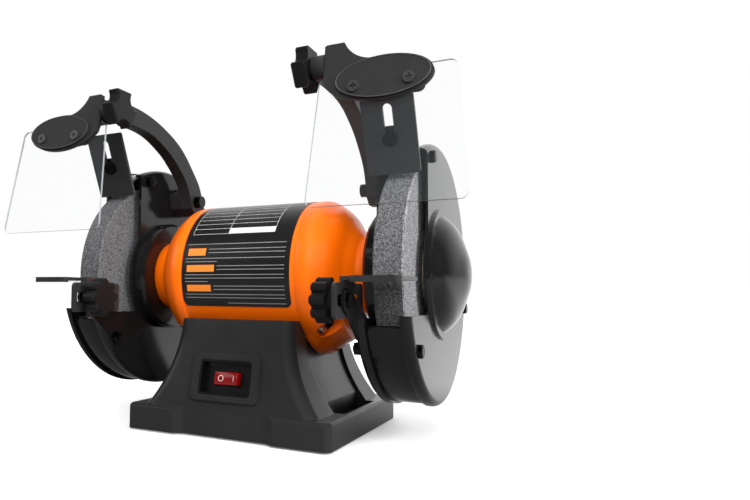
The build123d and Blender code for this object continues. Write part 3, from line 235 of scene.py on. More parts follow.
@dataclass(frozen=True)
class BondedGrit:
    """Fused abrasive grains in a vitrified bond: light and dark grains side by side, pores, no gloss.

    The grains are drawn about 0.9 mm wide, three times the real 60 grit, because those are too fine to show.
    The outer sides are painted paler as painted light, and the trued rim and the inner sides darker as painted shade:
    the painted shading goes by how far a face lies out from the middle, in metres, times how squarely it looks
    outwards.
    """

    name: str = "vitrified bonded aluminium oxide, trued face"
    light: str = "#838385"
    dark: str = "#39393b"
    grain_mm: float = 0.9
    pore_mm: float = 2.6
    relief_depth_mm: float = 0.35
    relief_strength: float = 0.9
    roughness: float = 0.95
    ior: float = 1.4
    shine: float = 0.25
    # Painted light and shade: the tones' gain runs from rim and inner sides (0.8) to outer sides (1.28).
    paleness: Ramp = Ramp(0.05, 0.12, 0.8, 1.28)

    def make(self) -> bpy.types.Material:
        """Build the material.

        Returns:
            The finished material.
        """
        made, tree, output = new_material(self.name)
        place = add(tree, "ShaderNodeTexCoord").outputs["Object"]
        grains = add(tree, "ShaderNodeTexVoronoi", {"Scale": 1.0 / (self.grain_mm * MM)}, {"Vector": place})
        tone = add(tree, "ShaderNodeSeparateColor", links={"Color": grains.outputs["Color"]})
        tones = add(
            tree,
            "ShaderNodeMix",
            {"data_type": "RGBA", 6: linear(self.dark), 7: linear(self.light)},
            {0: tone.outputs["Red"]},
        )
        # Painted light and shade: the tones are scaled by how far out a face lies times how squarely it looks outwards.
        facing = add(tree, "ShaderNodeSeparateXYZ", links={0: add(tree, "ShaderNodeTexCoord").outputs["Normal"]})
        where = add(tree, "ShaderNodeSeparateXYZ", links={0: place})
        outward = add(
            tree,
            "ShaderNodeMath",
            {"operation": "MULTIPLY"},
            {0: facing.outputs["X"], 1: where.outputs["X"]},
        )
        gain = add(tree, "ShaderNodeMapRange", self.paleness.settings(), {"Value": outward.outputs["Value"]})
        shaded_tones = add(
            tree,
            "ShaderNodeHueSaturation",
            links={"Value": gain.outputs["Result"], "Color": tones.outputs[2]},
        )
        pores = add(
            tree,
            "ShaderNodeTexNoise",
            {"Scale": 1.0 / (self.pore_mm * MM), "Detail": 5.0, "Roughness": 0.7},
            {"Vector": place},
        )
        height = add(
            tree,
            "ShaderNodeMath",
            {"operation": "ADD"},
            {0: grains.outputs["Distance"], 1: pores.outputs["Fac"]},
        )
        bump = add(
            tree,
            "ShaderNodeBump",
            {"Strength": self.relief_strength, "Distance": self.relief_depth_mm * MM},
            {"Height": height.outputs["Value"]},
        )
        shader = add(
            tree,
            "ShaderNodeBsdfPrincipled",
            {"Roughness": self.roughness, "IOR": self.ior, "Specular IOR Level": self.shine},
            {"Base Color": shaded_tones.outputs["Color"], "Normal": bump.outputs["Normal"]},
        )
        tree.links.new(shader.outputs["BSDF"], output.inputs["Surface"])
        return made


@dataclass(frozen=True)
class ClearSheet:
    """Clear polycarbonate sheet with polished faces: almost unseen, its edge faces a pale opaque grey as a painted
    highlight.

    The opacity falls from the edges, which look along the sheet, to the faces.
    """

    name: str = "polycarbonate sheet, clear, saw-cut edges"
    # Pale grey of the edge faces: painted highlight for the light lines along the sheet's edges.
    edge: str = "#979da1"
    roughness: float = 0.08
    ior: float = 1.58
    opacity: Ramp = Ramp(0.5, 0.95, 0.8, 0.026)

    def make(self, normal: Vector) -> bpy.types.Material:
        """Build the material.

        Args:
            normal: direction that the sheet's faces look.

        Returns:
            The finished material.
        """
        made, tree, output = new_material(self.name)
        facing = add(
            tree,
            "ShaderNodeVectorMath",
            {"operation": "DOT_PRODUCT", 1: normal},
            {0: add(tree, "ShaderNodeTexCoord").outputs["Normal"]},
        )
        flat = add(tree, "ShaderNodeMath", {"operation": "ABSOLUTE"}, {0: facing.outputs["Value"]})
        solid = add(tree, "ShaderNodeMapRange", self.opacity.settings(), {"Value": flat.outputs["Value"]})
        shader = add(
            tree,
            "ShaderNodeBsdfPrincipled",
            {"Base Color": linear(self.edge), "Roughness": self.roughness, "IOR": self.ior},
            {"Alpha": solid.outputs["Result"]},
        )
        tree.links.new(shader.outputs["BSDF"], output.inputs["Surface"])
        return made


# Die-cast aluminium under a sprayed satin enamel: charcoal, soft broad highlights, faint casting waviness.
CAST_ENAMEL = Coating(
    "die-cast aluminium, satin charcoal enamel", "#252526", "#212122", 0.32, 0.04, relief_mm=1.6, round_mm=1.2
)
# Gloss enamel sprayed on steel and castings: saturated orange under a clear shine, slight peel.
ORANGE_ENAMEL = Coating(
    "gloss orange enamel, sprayed", "#ff7003", "#fe6a01", 0.36, 0.03, ior=1.32, coat=0.35, coat_roughness=0.12,
    relief_mm=3.0, relief_depth_mm=0.015, drift_mm=70.0,
)
# Stoved black enamel on pressed steel: dark, and mirror-like where it is seen along its face.
STOVED_ENAMEL = Coating(
    "pressed steel, stoved black enamel", "#141415", "#101011", 0.14, 0.02, ior=1.46, relief_mm=2.4,
    relief_depth_mm=0.006,
)
# The same stoving on the plain spark plates, rubbed to a satin.
SATIN_ENAMEL = Coating("steel sheet, satin black enamel", "#29292a", "#242425", 0.4, 0.04, relief_mm=1.4)
# Glass-filled nylon from a textured mould: charcoal with a soft sheen.
MOULDED_NYLON = Coating("glass-filled nylon, moulded", "#2b2b2c", "#272728", 0.58, ior=1.36, relief_mm=0.8)
# The same nylon, paler, for a fine bead along the bracket ovals' edges: a painted highlight where the edges catch the
# light.
EDGE_HIGHLIGHT_NYLON = Coating("glass-filled nylon, rubbed edge", "#4b4b4c", "#3a3a3b", 0.4, 0.05, relief_mm=0.8)
# Phenolic knob, moulded and tumbled: black, smoother and shinier than the nylon.
KNOB_PHENOLIC = Coating(
    "phenolic, moulded black", "#161617", "#121213", 0.48, 0.05, ior=1.34, relief_mm=1.0, relief_depth_mm=0.015
)
# ABS switch housing, which also lines the pocket: black with a fine spark texture, and kept near black as painted shade
# for the pocket's shadow.
SWITCH_ABS_AND_POCKET_SHADE = Coating("ABS, moulded black", "#0c0c0d", "#09090a", 0.34, 0.04, relief_mm=0.7, relief_depth_mm=0.015)
# Rocker of dyed polycarbonate: deep clear red, polished.
ROCKER_RED = Coating(
    "polycarbonate, moulded red", "#820c0b", "#750908", 0.2, 0.03, coat=0.3, relief_mm=2.0, relief_depth_mm=0.01
)
# Pad-printed marks on the rocker: flat off-white ink.
MARK_INK = Coating("pad-printed ink, white", "#e9d9d4", "#e2d0cb", 0.5, 0.02, relief_mm=0.6, relief_depth_mm=0.004)
# Screen-printed grid on the label: thin neutral white ink.
GRID_INK = Coating("screen-printed ink, white", "#d2d2d0", "#c6c6c4", 0.5, 0.02, relief_mm=0.6, relief_depth_mm=0.004)
# Screen-printed colour bars on the label: flat orange ink.
BAR_INK = Coating("screen-printed ink, orange", "#f58a30", "#ee8228", 0.45, 0.02, relief_mm=0.6, relief_depth_mm=0.004)
# Screen-printed rules on the label: thin grey ink that lets the film show through.
RULE_INK = Coating("screen-printed ink, grey", "#8f8f8e", "#7c7c7b", 0.5, 0.02, relief_mm=0.6, relief_depth_mm=0.004)
# Zinc-plated steel: bright, cool, lightly clouded.
ZINC_STEEL = Coating(
    "steel, zinc plated", "#c9c9c6", "#a9a9a8", 0.28, 0.08, metallic=1.0, drift_mm=9.0, relief_mm=0.8
)
# Black-oxide screws: dark metal with a weak shine.
BLACK_OXIDE = Coating("steel, black oxide", "#3a3a3b", "#2c2c2d", 0.42, 0.06, metallic=1.0, drift_mm=8.0)
# Black zinc plate on the bracket screws, given a diffuse grey lighter than the nylon round them: a painted sheen for
# the heads' metal highlights, so that the cross shows.
BLACK_ZINC_PAINTED_SHEEN = Coating("steel, black zinc plate", "#383839", "#2f2f30", 0.34, 0.05, drift_mm=8.0)
# Black phosphate on the screws of the spark plates: near black and dull beside the plate's satin.
BLACK_PHOSPHATE = Coating("steel, black phosphate", "#060607", "#040405", 0.6, 0.05, ior=1.25, drift_mm=8.0)
# Ground and oiled steel: bright and even, on shaft and races.
GROUND_STEEL = Coating("steel, ground", "#bdbdbd", "#a3a3a5", 0.22, 0.05, metallic=1.0, drift_mm=6.0, relief_mm=0.5)
# Stacked lamination sheets, oxidised: dull blue-grey metal.
LAMINATIONS = Coating("electrical steel, stacked sheets", "#6e7176", "#55585d", 0.5, metallic=1.0, relief_mm=0.6)
# Varnished winding wire: dark copper with a wet look.
COPPER_WIRE = Coating(
    "copper wire, varnished", "#b4652c", "#8c4718", 0.3, 0.08, metallic=1.0, drift_mm=3.0, relief_mm=1.1,
    relief_depth_mm=0.25,
)
# Drawn aluminium: pale soft shine, on the capacitor's can.
DRAWN_ALUMINIUM = Coating("aluminium, drawn can", "#c4c6c9", "#abadb0", 0.3, 0.06, metallic=1.0, relief_mm=0.9)
# Undyed nylon, moulded: warm off-white, on the terminal block.
TERMINAL_NYLON = Coating("nylon, moulded natural", "#ded8c6", "#cfc8b4", 0.45, relief_mm=0.9)
# Compressed paper blotter: warm grey-buff with fibres.
BLOTTER_PAPER = Coating("blotting paper, pressed", "#cbbf9f", "#b7aa88", 0.9, 0.04, drift_mm=5.0, relief_mm=0.7)
# Moulded rubber: black, matt.
RUBBER = Coating("rubber, moulded black", "#1d1d1e", "#161617", 0.72, 0.06, relief_mm=0.7, relief_depth_mm=0.03)
# Satin vinyl film, printed charcoal: dark, with a soft sheen along the motor's round.
LABEL_VINYL = Coating(
    "vinyl film, printed charcoal", "#1b1a1a", "#181717", 0.3, 0.02, ior=1.46, relief_mm=0.8, relief_depth_mm=0.004
)
# Cold-rolled sheet under a thin black enamel: dark with a pale sheen on top, on the tool rests.
REST_ENAMEL = Coating("steel sheet, black enamel", "#2e2e2f", "#272728", 0.3, 0.05, relief_mm=1.0)
GRIT = BondedGrit()
SHIELD_SHEET = ClearSheet()


def dress(node: str, material: bpy.types.Material, edge_mm: float = 0.0) -> None:
    """Give a CAD node its finish and, where wanted, softly broken edges.

    Args:
        node: the CAD node's name.
        material: finish for all of its surface.
        edge_mm: width of the broken edge, 0 for none.
    """
    piece = FRAME["nodes"][node]
    piece.data.materials.clear()
    piece.data.materials.append(material)
    if edge_mm > 0.0:
        weld = piece.modifiers.new("weld", "WELD")
        weld.merge_threshold = WELD
        bevel = piece.modifiers.new("broken_edge", "BEVEL")
        bevel.width = edge_mm * MM
        bevel.segments = EDGE_FACETS
        bevel.limit_method = "ANGLE"
        bevel.angle_limit = math.radians(EDGE_FROM_DEG)
        bevel.harden_normals = True
    LOG.info("dressed %s", node)


def surface_tree(node: str) -> BVHTree:
    """Search tree of a CAD node's surface in the shared frame, for laying marks on it.

    Args:
        node: the CAD node's name.

    Returns:
        The search tree.
    """
    piece = FRAME["nodes"][node]
    corners = [piece.matrix_world @ vertex.co for vertex in piece.data.vertices]
    return BVHTree.FromPolygons(corners, [face.vertices[:] for face in piece.data.polygons])


def new_piece(name: str, shape: bmesh.types.BMesh, material: bpy.types.Material, body: str) -> None:
    """Turn a built mesh into a piece that rides on a body.

    Args:
        name: the piece's name.
        shape: built mesh in the shared frame, used up here.
        material: finish of the piece.
        body: CAD body that it rides on.
    """
    mesh = bpy.data.meshes.new(name)
    shape.to_mesh(mesh)
    shape.free()
    piece = bpy.data.objects.new(name, mesh)
    bpy.context.scene.collection.objects.link(piece)
    mesh.materials.append(material)
    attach(piece, body)
    LOG.info("built %s", name)


@dataclass
class Base:
    """Cast pedestal with its bottom plate, feet, gland and the hidden electrics."""

    screw_edge_mm: float = 0.3
    rubber_edge_mm: float = 0.6
    can_edge_mm: float = 0.6
    block_edge_mm: float = 0.4

    def dress(self) -> None:
        """Finish the castings, the bottom and what is inside."""
        zinc = ZINC_STEEL.make()
        rubber = RUBBER.make()
        dress("base", CAST_ENAMEL.make())
        dress("base_plate", STOVED_ENAMEL.make())
        dress("base_plate_screws", zinc, self.screw_edge_mm)
        dress("saddle_bolts", zinc, self.screw_edge_mm)
        dress("rubber_feet", rubber, self.rubber_edge_mm)
        dress("cord_gland", rubber, self.rubber_edge_mm)
        dress("capacitor", DRAWN_ALUMINIUM.make(), self.can_edge_mm)
        dress("capacitor_clamp", zinc)
        dress("terminal_block", TERMINAL_NYLON.make(), self.block_edge_mm)


@dataclass
class Switch:
    """Rocker switch in its pocket, with a plain ring and bar printed on the rocker.

    The rocker's face leans back by run over rise. The marks lie left and right of its middle and are found on it
    by looking inwards from a point in front.
    """

    edge_mm: float = 0.5
    middle_mm: tuple[float, float, float] = (-1.0, -84.6, 54.0)
    rise_mm: float = 85.0
    run_mm: float = 17.0
    mark_out_mm: float = 7.2
    ring_r_mm: float = 2.6
    line_mm: float = 0.6
    bar_mm: float = 5.0
    bar_steps: int = 4
    ring_steps: int = 32
    film_mm: float = 0.05
    reach_mm: float = 30.0

    def dress(self) -> None:
        """Finish the housing and the rocker and print its marks."""
        # Near-black housing that lines the pocket: black plastic, and painted shade for the pocket's shadow.
        dress("switch_body", SWITCH_ABS_AND_POCKET_SHADE.make(), self.edge_mm)
        dress("switch_rocker", ROCKER_RED.make(), self.edge_mm)
        ink = MARK_INK.make()
        ring = []
        for step in range(self.ring_steps + 1):
            angle = 2.0 * math.pi * step / self.ring_steps
            spoke = (math.cos(angle), math.sin(angle))
            ring.append([(-self.mark_out_mm + r * spoke[0], r * spoke[1]) for r in self.ring_radii()])
        self.mark("rocker_ring_mark", ring, ink)
        bar = []
        for side in (-0.5, 0.5):
            across = self.mark_out_mm + side * self.line_mm
            steps = range(self.bar_steps + 1)
            bar.append([(across, self.bar_mm * (step / self.bar_steps - 0.5)) for step in steps])
        self.mark("rocker_bar_mark", bar, ink)

    def ring_radii(self) -> tuple[float, float]:
        """Inner and outer radius of the ring mark, in millimetres."""
        return self.ring_r_mm - self.line_mm / 2.0, self.ring_r_mm + self.line_mm / 2.0

    def mark(self, name: str, rows: list, ink: bpy.types.Material) -> None:
        """Lay a grid of points on the rocker's face as a thin printed mark.

        Args:
            name: the mark's name.
            rows: rows of points, each across and up from the rocker's middle in millimetres.
            ink: finish of the mark.
        """
        length = math.hypot(self.rise_mm, self.run_mm)
        out = Vector((0.0, -self.rise_mm / length, self.run_mm / length))
        up = Vector((0.0, self.run_mm / length, self.rise_mm / length))
        middle = Vector(self.middle_mm) * MM
        face = surface_tree("switch_rocker")
        shape = bmesh.new()
        grid = []
        for row in rows:
            laid = []
            for across, above in row:
                start = middle + (Vector((across, 0.0, 0.0)) + above * up + self.reach_mm * out) * MM
                hit = face.ray_cast(start, -out)[0]
                laid.append(shape.verts.new(hit + self.film_mm * MM * out))
            grid.append(laid)
        for one, two in zip(grid, grid[1:]):
            for index in range(len(one) - 1):
                quad = shape.faces.new((one[index], one[index + 1], two[index + 1], two[index]))
                quad.normal_update()
                if quad.normal.dot(out) < 0.0:
                    quad.normal_flip()
        new_piece(name, shape, ink, "rocker")


@dataclass
class Motor:
    """Motor shell with its label film, end bells, stator and tie bolts.

    Places on the film are lengths along the axis and angles round it, counted from the back over the top.
    """

    edge_mm: float = 0.8
    bolt_edge_mm: float = 0.4
    film_r_mm: float = 72.6
    facet_deg: float = 3.0
    line_mm: float = 0.4
    rule_mm: float = 0.7
    grid_x_mm: tuple[float, ...] = (-54.0, -13.5, 36.0)
    grid_high_deg: float = 96.0
    grid_low_deg: float = 148.0
    grid_rows: int = 10
    # Right end in millimetres, upper and lower angle in degrees of each bar.
    bars: tuple[tuple[float, float, float], ...] = (
        (-34.0, 160.7, 166.6),
        (-23.0, 174.0, 179.2),
        (-27.0, 189.2, 194.2),
    )
    # Left and right end in millimetres and angle in degrees of each rule.
    rules: tuple[tuple[float, float, float], ...] = (
        (-56.0, 51.0, 157.0),
        (-31.0, 51.0, 161.3),
        (-31.0, 51.0, 164.2),
        (-56.0, 51.0, 168.6),
        (-56.0, -20.0, 171.2),
        (-20.0, 51.0, 174.6),
        (-20.0, 51.0, 177.3),
        (-56.0, 51.0, 181.2),
        (-56.0, 51.0, 183.8),
        (-56.0, -30.0, 186.4),
        (-24.0, 51.0, 189.8),
        (-24.0, 51.0, 192.4),
        (-56.0, 51.0, 196.2),
        (-56.0, 51.0, 198.8),
        (-10.0, 51.0, 203.0),
    )

    def dress(self) -> None:
        """Finish the painted housing and the stator in it."""
        orange = ORANGE_ENAMEL.make()
        dress("motor_shell", orange)
        for side in Side:
            dress(f"end_bell_{side.tag}", orange, self.edge_mm)
        dress("label_film", LABEL_VINYL.make())
        dress("tie_bolts", ZINC_STEEL.make(), self.bolt_edge_mm)
        dress("stator_core", LAMINATIONS.make())
        dress("stator_windings", COPPER_WIRE.make())
        self.print_label()

    def print_label(self) -> None:
        """Print an empty ruled grid, plain colour bars and blank rules on the label film."""
        per_deg = math.radians(1.0) * self.film_r_mm
        line_deg = self.line_mm / per_deg
        left, middle, right = self.grid_x_mm
        row_deg = (self.grid_low_deg - self.grid_high_deg) / self.grid_rows
        grid = bmesh.new()
        for row in range(self.grid_rows + 1):
            angle = self.grid_high_deg + row * row_deg
            self.stripe(grid, left, right, angle, angle + line_deg)
        for x in self.grid_x_mm:
            self.stripe(grid, x, x + self.line_mm, self.grid_high_deg, self.grid_low_deg)
        self.stripe(grid, middle, right, self.grid_low_deg - row_deg, self.grid_low_deg)
        new_piece("label_grid", grid, GRID_INK.make(), "frame")
        bars = bmesh.new()
        for x_to, high, low in self.bars:
            self.stripe(bars, left, x_to, high, low)
        new_piece("label_bars", bars, BAR_INK.make(), "frame")
        rules = bmesh.new()
        for x_from, x_to, angle in self.rules:
            self.stripe(rules, x_from, x_to, angle, angle + self.rule_mm / per_deg)
        new_piece("label_rules", rules, RULE_INK.make(), "frame")

    def stripe(self, shape: bmesh.types.BMesh, x_from: float, x_to: float, high: float, low: float) -> None:
        """Add one printed stripe on the film's round.

        Args:
            shape: mesh to add to.
            x_from: left end in millimetres.
            x_to: right end in millimetres.
            high: angle of the upper end in degrees, counted from the back over the top.
            low: angle of the lower end.
        """
        steps = max(1, round((low - high) / self.facet_deg))
        before = None
        for step in range(steps + 1):
            angle = math.radians(high + (low - high) * step / steps)
            y = self.film_r_mm * math.cos(angle) * MM
            z = AXIS_Z + self.film_r_mm * math.sin(angle) * MM
            pair = (shape.verts.new((x_from * MM, y, z)), shape.verts.new((x_to * MM, y, z)))
            if before:
                shape.faces.new((before[0], pair[0], pair[1], before[1]))
            before = pair


@dataclass
class Spindle:
    """Shaft with rotor, bearings, flanges and both wheels."""

    edge_mm: float = 0.4

    def dress(self) -> None:
        """Finish everything that turns."""
        ground = GROUND_STEEL.make()
        zinc = ZINC_STEEL.make()
        grit = GRIT.make()
        for node in ("shaft", "bearing_outer_races", "bearing_inner_races", "bearing_cages"):
            dress(node, ground)
        dress("rotor", LAMINATIONS.make())
        dress("wheel_blotters", BLOTTER_PAPER.make())
        for node in ("inner_flanges", "outer_flanges", "spindle_nuts"):
            dress(node, zinc, self.edge_mm)
        for side in Side:
            dress(f"wheel_{side.tag}", grit)


@dataclass
class Guards:
    """Both wheel guards with covers, spark arrestors and their fasteners."""

    edge_mm: float = 0.5
    screw_edge_mm: float = 0.4

    def dress(self) -> None:
        """Finish the sheet steel and its screws."""
        coat = STOVED_ENAMEL.make()
        satin = SATIN_ENAMEL.make()
        black = BLACK_OXIDE.make()
        for side in Side:
            for node in ("guard_inner", "guard_band", "wheel_cover"):
                dress(f"{node}_{side.tag}", coat, self.edge_mm)
            dress(f"spark_arrestor_{side.tag}", satin, self.edge_mm)
        for node in ("cover_bolts", "guard_nuts", "guard_spacers", "hub_screws"):
            dress(node, black, self.screw_edge_mm)
        dress("spark_screws", BLACK_PHOSPHATE.make(), self.screw_edge_mm)


@dataclass
class Shields:
    """Both eye shields with arms, brackets, screws and clamping knobs.

    The sheets and the ovals of their brackets look along sheet_normal, and a fine paler bead runs round each oval as a
    painted edge highlight.
    """

    edge_mm: float = 0.8
    backing_edge_mm: float = 0.4
    screw_edge_mm: float = 0.3
    knob_edge_mm: float = 0.6
    bolt_edge_mm: float = 0.4
    bead_mm: float = 0.45
    bead_sides: int = 8
    flat_mm: float = 0.05
    sheet_normal: tuple[float, float, float] = (0.0, -0.9906, 0.1371)

    def dress(self) -> None:
        """Finish the moulded arms and brackets and the clear sheets."""
        nylon = MOULDED_NYLON.make()
        sheen_grey = BLACK_ZINC_PAINTED_SHEEN.make()
        knob = KNOB_PHENOLIC.make()
        edge_highlight = EDGE_HIGHLIGHT_NYLON.make()
        for side in Side:
            dress(f"shield_arm_{side.tag}", nylon, self.edge_mm)
            dress(f"shield_bracket_{side.tag}", nylon, self.edge_mm)
            # Paler bead round the oval: painted edge highlight.
            self.bead(side, edge_highlight)
            dress(f"shield_backing_{side.tag}", nylon, self.backing_edge_mm)
            # Bracket screws in a diffuse grey: painted sheen.
            dress(f"shield_screws_{side.tag}", sheen_grey, self.screw_edge_mm)
            dress(f"shield_knob_{side.tag}", knob, self.knob_edge_mm)
            dress(f"eye_shield_{side.tag}", SHIELD_SHEET.make(Vector(self.sheet_normal)))
        dress("arm_bolts", BLACK_OXIDE.make(), self.bolt_edge_mm)

    def leaf_outline(self, side: Side) -> list[Vector]:
        """Points round the raised oval on a bracket's front.

        Args:
            side: which bracket.

        Returns:
            The points in order, in the shared frame.
        """
        piece = FRAME["nodes"][f"shield_bracket_{side.tag}"]
        place = piece.matrix_world
        turn = place.to_3x3()
        corners = [place @ vertex.co for vertex in piece.data.vertices]
        out = Vector(self.sheet_normal).normalized()
        facing = [face.vertices for face in piece.data.polygons if (turn @ face.normal).normalized().dot(out) > SQUARE]
        front = max(corners[index].dot(out) for face in facing for index in face)
        edges: set[tuple] = set()
        for face in facing:
            if min(corners[index].dot(out) for index in face) < front - self.flat_mm * MM:
                continue
            ring = [tuple(round(value, 6) for value in corners[index]) for index in face]
            for first, second in zip(ring, ring[1:] + ring[:1]):
                if (second, first) in edges:
                    edges.remove((second, first))
                else:
                    edges.add((first, second))
        following = dict(edges)
        first = min(following)
        outline = [Vector(first)]
        point = following[first]
        while point != first:
            outline.append(Vector(point))
            point = following[point]
        return outline

    def bead(self, side: Side, material: bpy.types.Material) -> None:
        """Lay a fine rounded bead along the edge of a bracket's oval, as a painted edge highlight in a paler finish.

        Args:
            side: which bracket.
            material: finish of the bead.
        """
        outline = self.leaf_outline(side)
        out = Vector(self.sheet_normal).normalized()
        shape = bmesh.new()
        rings = []
        for index, point in enumerate(outline):
            along = (outline[(index + 1) % len(outline)] - outline[index - 1]).normalized()
            across = along.cross(out)
            ring = []
            for step in range(self.bead_sides):
                angle = 2.0 * math.pi * step / self.bead_sides
                spoke = math.cos(angle) * out + math.sin(angle) * across
                ring.append(shape.verts.new(point + self.bead_mm * MM * spoke))
            rings.append(ring)
        for one, two in zip(rings, rings[1:] + rings[:1]):
            for step in range(self.bead_sides):
                far = (step + 1) % self.bead_sides
                shape.faces.new((one[step], one[far], two[far], two[step])).smooth = True
        bmesh.ops.recalc_face_normals(shape, faces=shape.faces)
        new_piece(f"leaf_bead_{side.tag}", shape, material, f"shield_{side.tag}")


@dataclass
class ToolRests:
    """Both tool rests with studs and star knobs."""

    edge_mm: float = 0.4
    knob_edge_mm: float = 0.6
    stud_edge_mm: float = 0.3

    def dress(self) -> None:
        """Finish the tables and the knobs."""
        sheet = REST_ENAMEL.make()
        knob = KNOB_PHENOLIC.make()
        for side in Side:
            dress(f"tool_rest_{side.tag}", sheet, self.edge_mm)
            dress(f"rest_knob_{side.tag}", knob, self.knob_edge_mm)
        dress("rest_studs", BLACK_OXIDE.make(), self.stud_edge_mm)


@dataclass(frozen=True)
class SoftBox:
    """Square soft box that faces the motor: place and side in metres, power in watts.

    Glossy surfaces show it only where it is mirrored.
    """

    name: str
    place: tuple[float, float, float]
    side: float
    power: float
    mirrored: bool = False

    def build(self) -> None:
        """Hang the lamp and turn it to the motor's axis."""
        data = bpy.data.lights.new(self.name, "AREA")
        data.size = self.side
        data.energy = self.power
        lamp = bpy.data.objects.new(self.name, data)
        lamp.location = self.place
        lamp.rotation_euler = (Vector((0.0, 0.0, AXIS_Z)) - Vector(self.place)).to_track_quat("-Z", "Y").to_euler()
        lamp.visible_glossy = self.mirrored
        bpy.context.scene.collection.objects.link(lamp)


@dataclass
class Sweep:
    """Floor of white paper: the eye sees it white with the soft shadow, the object gets a plain grey bounce.

    Lengths are in metres. A painted glow on the paper, which washes its shadow out away from the shadow's middle, grows
    with the distance from that middle, and glossy surfaces see a painted glow that brightens the paper towards the
    back.
    """

    half_width: float = 6.0
    drop: float = 0.0002
    seen_colour: str = "#dedede"
    bounce_colour: str = "#747474"
    glow_colour: str = "#ffffff"
    shadow_middle: tuple[float, float, float] = (0.35, 0.05, 0.0)
    glow: Ramp = Ramp(0.32, 0.9, 0.14, 1.0)
    shine: Ramp = Ramp(0.0, 0.4, 0.0, 1.1)

    def build(self) -> None:
        """Lay the paper."""
        shape = bmesh.new()
        bmesh.ops.create_grid(shape, x_segments=1, y_segments=1, size=self.half_width)
        mesh = bpy.data.meshes.new("floor")
        shape.to_mesh(mesh)
        shape.free()
        floor = bpy.data.objects.new("floor", mesh)
        floor.location.z = -self.drop
        bpy.context.scene.collection.objects.link(floor)
        mesh.materials.append(self.paper())

    def paper(self) -> bpy.types.Material:
        """Build the paper's material.

        Returns:
            The finished material.
        """
        made, tree, output = new_material("white paper sweep")
        path = add(tree, "ShaderNodeLightPath")
        lit = add(tree, "ShaderNodeBsdfDiffuse", {"Color": linear(self.seen_colour)})
        bounce = add(tree, "ShaderNodeBsdfDiffuse", {"Color": linear(self.bounce_colour)})
        place = add(tree, "ShaderNodeTexCoord").outputs["Object"]
        # Painted glow: emission that grows with the distance from the shadow's middle.
        reach = add(tree, "ShaderNodeVectorMath", {"operation": "DISTANCE", 1: self.shadow_middle}, {0: place})
        white = add(tree, "ShaderNodeMapRange", self.glow.settings(), {"Value": reach.outputs["Value"]})
        glow = add(
            tree,
            "ShaderNodeEmission",
            {"Color": linear(self.glow_colour)},
            {"Strength": white.outputs["Result"]},
        )
        seen = add(tree, "ShaderNodeAddShader", links={0: lit.outputs[0], 1: glow.outputs[0]})
        depth = add(tree, "ShaderNodeSeparateXYZ", links={0: place})
        # Painted reflection: glossy rays see the paper glow brighter towards the back.
        behind = add(tree, "ShaderNodeMapRange", self.shine.settings(), {"Value": depth.outputs["Y"]})
        mirrored = add(
            tree,
            "ShaderNodeMath",
            {"operation": "MULTIPLY"},
            {0: behind.outputs["Result"], 1: path.outputs["Is Glossy Ray"]},
        )
        shine = add(
            tree,
            "ShaderNodeEmission",
            {"Color": linear(self.glow_colour)},
            {"Strength": mirrored.outputs["Value"]},
        )
        unseen = add(tree, "ShaderNodeAddShader", links={0: bounce.outputs[0], 1: shine.outputs[0]})
        pick = add(
            tree,
            "ShaderNodeMixShader",
            links={"Fac": path.outputs["Is Camera Ray"], 1: unseen.outputs[0], 2: seen.outputs[0]},
        )
        tree.links.new(pick.outputs[0], output.inputs["Surface"])
        return made


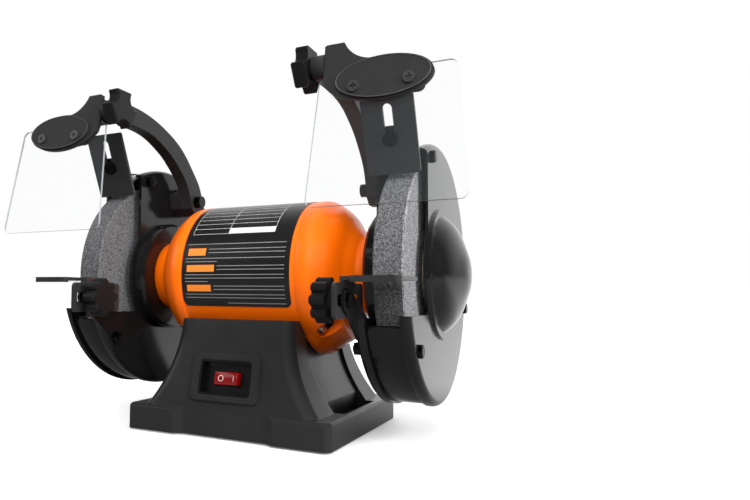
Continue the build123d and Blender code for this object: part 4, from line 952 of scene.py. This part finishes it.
@dataclass
class Studio:
    """White surroundings, soft boxes and the camera at the photograph's place, in metres and pixels."""

    eye: tuple[float, float, float] = (0.30133, -0.60302, 0.12787)
    turn_deg: float = 28.27
    pitch_deg: float = -4.17
    roll_deg: float = 0.68
    focal_px: float = 650.06
    width_px: float = 750.0
    centre_px: float = 250.0
    sensor_mm: float = 36.0
    nearest: float = 0.01
    white: str = "#ffffff"
    ambient: float = 0.45
    height_share: float = 0.45
    mirrored_sky: Ramp = Ramp(0.3, 0.95, 0.06, 1.15)
    lamps: tuple[SoftBox, ...] = (
        SoftBox("overhead", (0.05, -0.3, 1.35), 1.2, 8.5),
        SoftBox("key", (0.62, -1.25, 0.95), 0.9, 18.5),
        SoftBox("right", (1.55, -0.45, 0.75), 1.0, 44.0),
        SoftBox("left", (-1.4, -1.0, 0.9), 1.0, 4.0, mirrored=True),
        SoftBox("back", (-0.5, 1.6, 0.9), 1.2, 7.0),
    )

    def build(self) -> None:
        """Set up camera, world, floor and lamps."""
        self.camera()
        self.world()
        Sweep().build()
        for lamp in self.lamps:
            lamp.build()

    def camera(self) -> None:
        """Camera with the photograph's perspective and frame."""
        turn, pitch, roll = (math.radians(v) for v in (self.turn_deg, self.pitch_deg, self.roll_deg))
        ahead = Vector((-math.sin(turn) * math.cos(pitch), math.cos(turn) * math.cos(pitch), -math.sin(pitch)))
        right = Vector((math.cos(turn), math.sin(turn), 0.0))
        up = right.cross(ahead)
        across = math.cos(roll) * right + math.sin(roll) * up
        above = -math.sin(roll) * right + math.cos(roll) * up
        data = bpy.data.cameras.new("photo_camera")
        data.sensor_width = self.sensor_mm
        data.lens = self.focal_px / self.width_px * data.sensor_width
        data.shift_x = (self.width_px / 2.0 - self.centre_px) / self.width_px
        data.clip_start = self.nearest
        camera = bpy.data.objects.new("photo_camera", data)
        place = Matrix((across, above, -ahead)).transposed().to_4x4()
        place.translation = Vector(self.eye)
        camera.matrix_world = place
        bpy.context.scene.collection.objects.link(camera)
        bpy.context.scene.camera = camera

    def world(self) -> None:
        """White surroundings for the eye, a softer level as light, and reflections that pale to the high back."""
        world = bpy.data.worlds.new("white_studio")
        world.use_nodes = True
        tree = world.node_tree
        tree.nodes.clear()
        path = add(tree, "ShaderNodeLightPath")
        seen = add(
            tree,
            "ShaderNodeMath",
            {"operation": "MAXIMUM"},
            {0: path.outputs["Is Camera Ray"], 1: path.outputs["Is Transmission Ray"]},
        )
        direction = add(tree, "ShaderNodeSeparateXYZ", links={0: add(tree, "ShaderNodeTexCoord").outputs["Generated"]})
        high_back = add(
            tree,
            "ShaderNodeMath",
            {"operation": "MULTIPLY_ADD", 1: self.height_share},
            {0: direction.outputs["Z"], 2: direction.outputs["Y"]},
        )
        behind = add(tree, "ShaderNodeMapRange", self.mirrored_sky.settings(), {"Value": high_back.outputs["Value"]})
        reflected = add(
            tree,
            "ShaderNodeMapRange",
            {"To Min": self.ambient},
            {"Value": path.outputs["Is Glossy Ray"], "To Max": behind.outputs["Result"]},
        )
        strength = add(
            tree,
            "ShaderNodeMath",
            {"operation": "MAXIMUM"},
            {0: reflected.outputs["Result"], 1: seen.outputs["Value"]},
        )
        back = add(tree, "ShaderNodeBackground", {"Color": linear(self.white)}, {"Strength": strength.outputs["Value"]})
        output = add(tree, "ShaderNodeOutputWorld", links={"Surface": back.outputs["Background"]})
        output.is_active_output = True
        bpy.context.scene.world = world


def main() -> None:
    """Build every sub-assembly's looks and the studio, in order."""
    logging.basicConfig(level=logging.INFO, format="%(name)s: %(message)s")
    for leftover in list(bpy.data.objects):
        bpy.data.objects.remove(leftover)
    FRAME.update(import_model())
    bpy.context.scene.view_settings.view_transform = "Standard"
    for assembly in (Base(), Switch(), Motor(), Spindle(), Guards(), Shields(), ToolRests()):
        assembly.dress()
        LOG.info("finished %s", type(assembly).__name__)
    Studio().build()


if __name__ == "__main__":
    main()
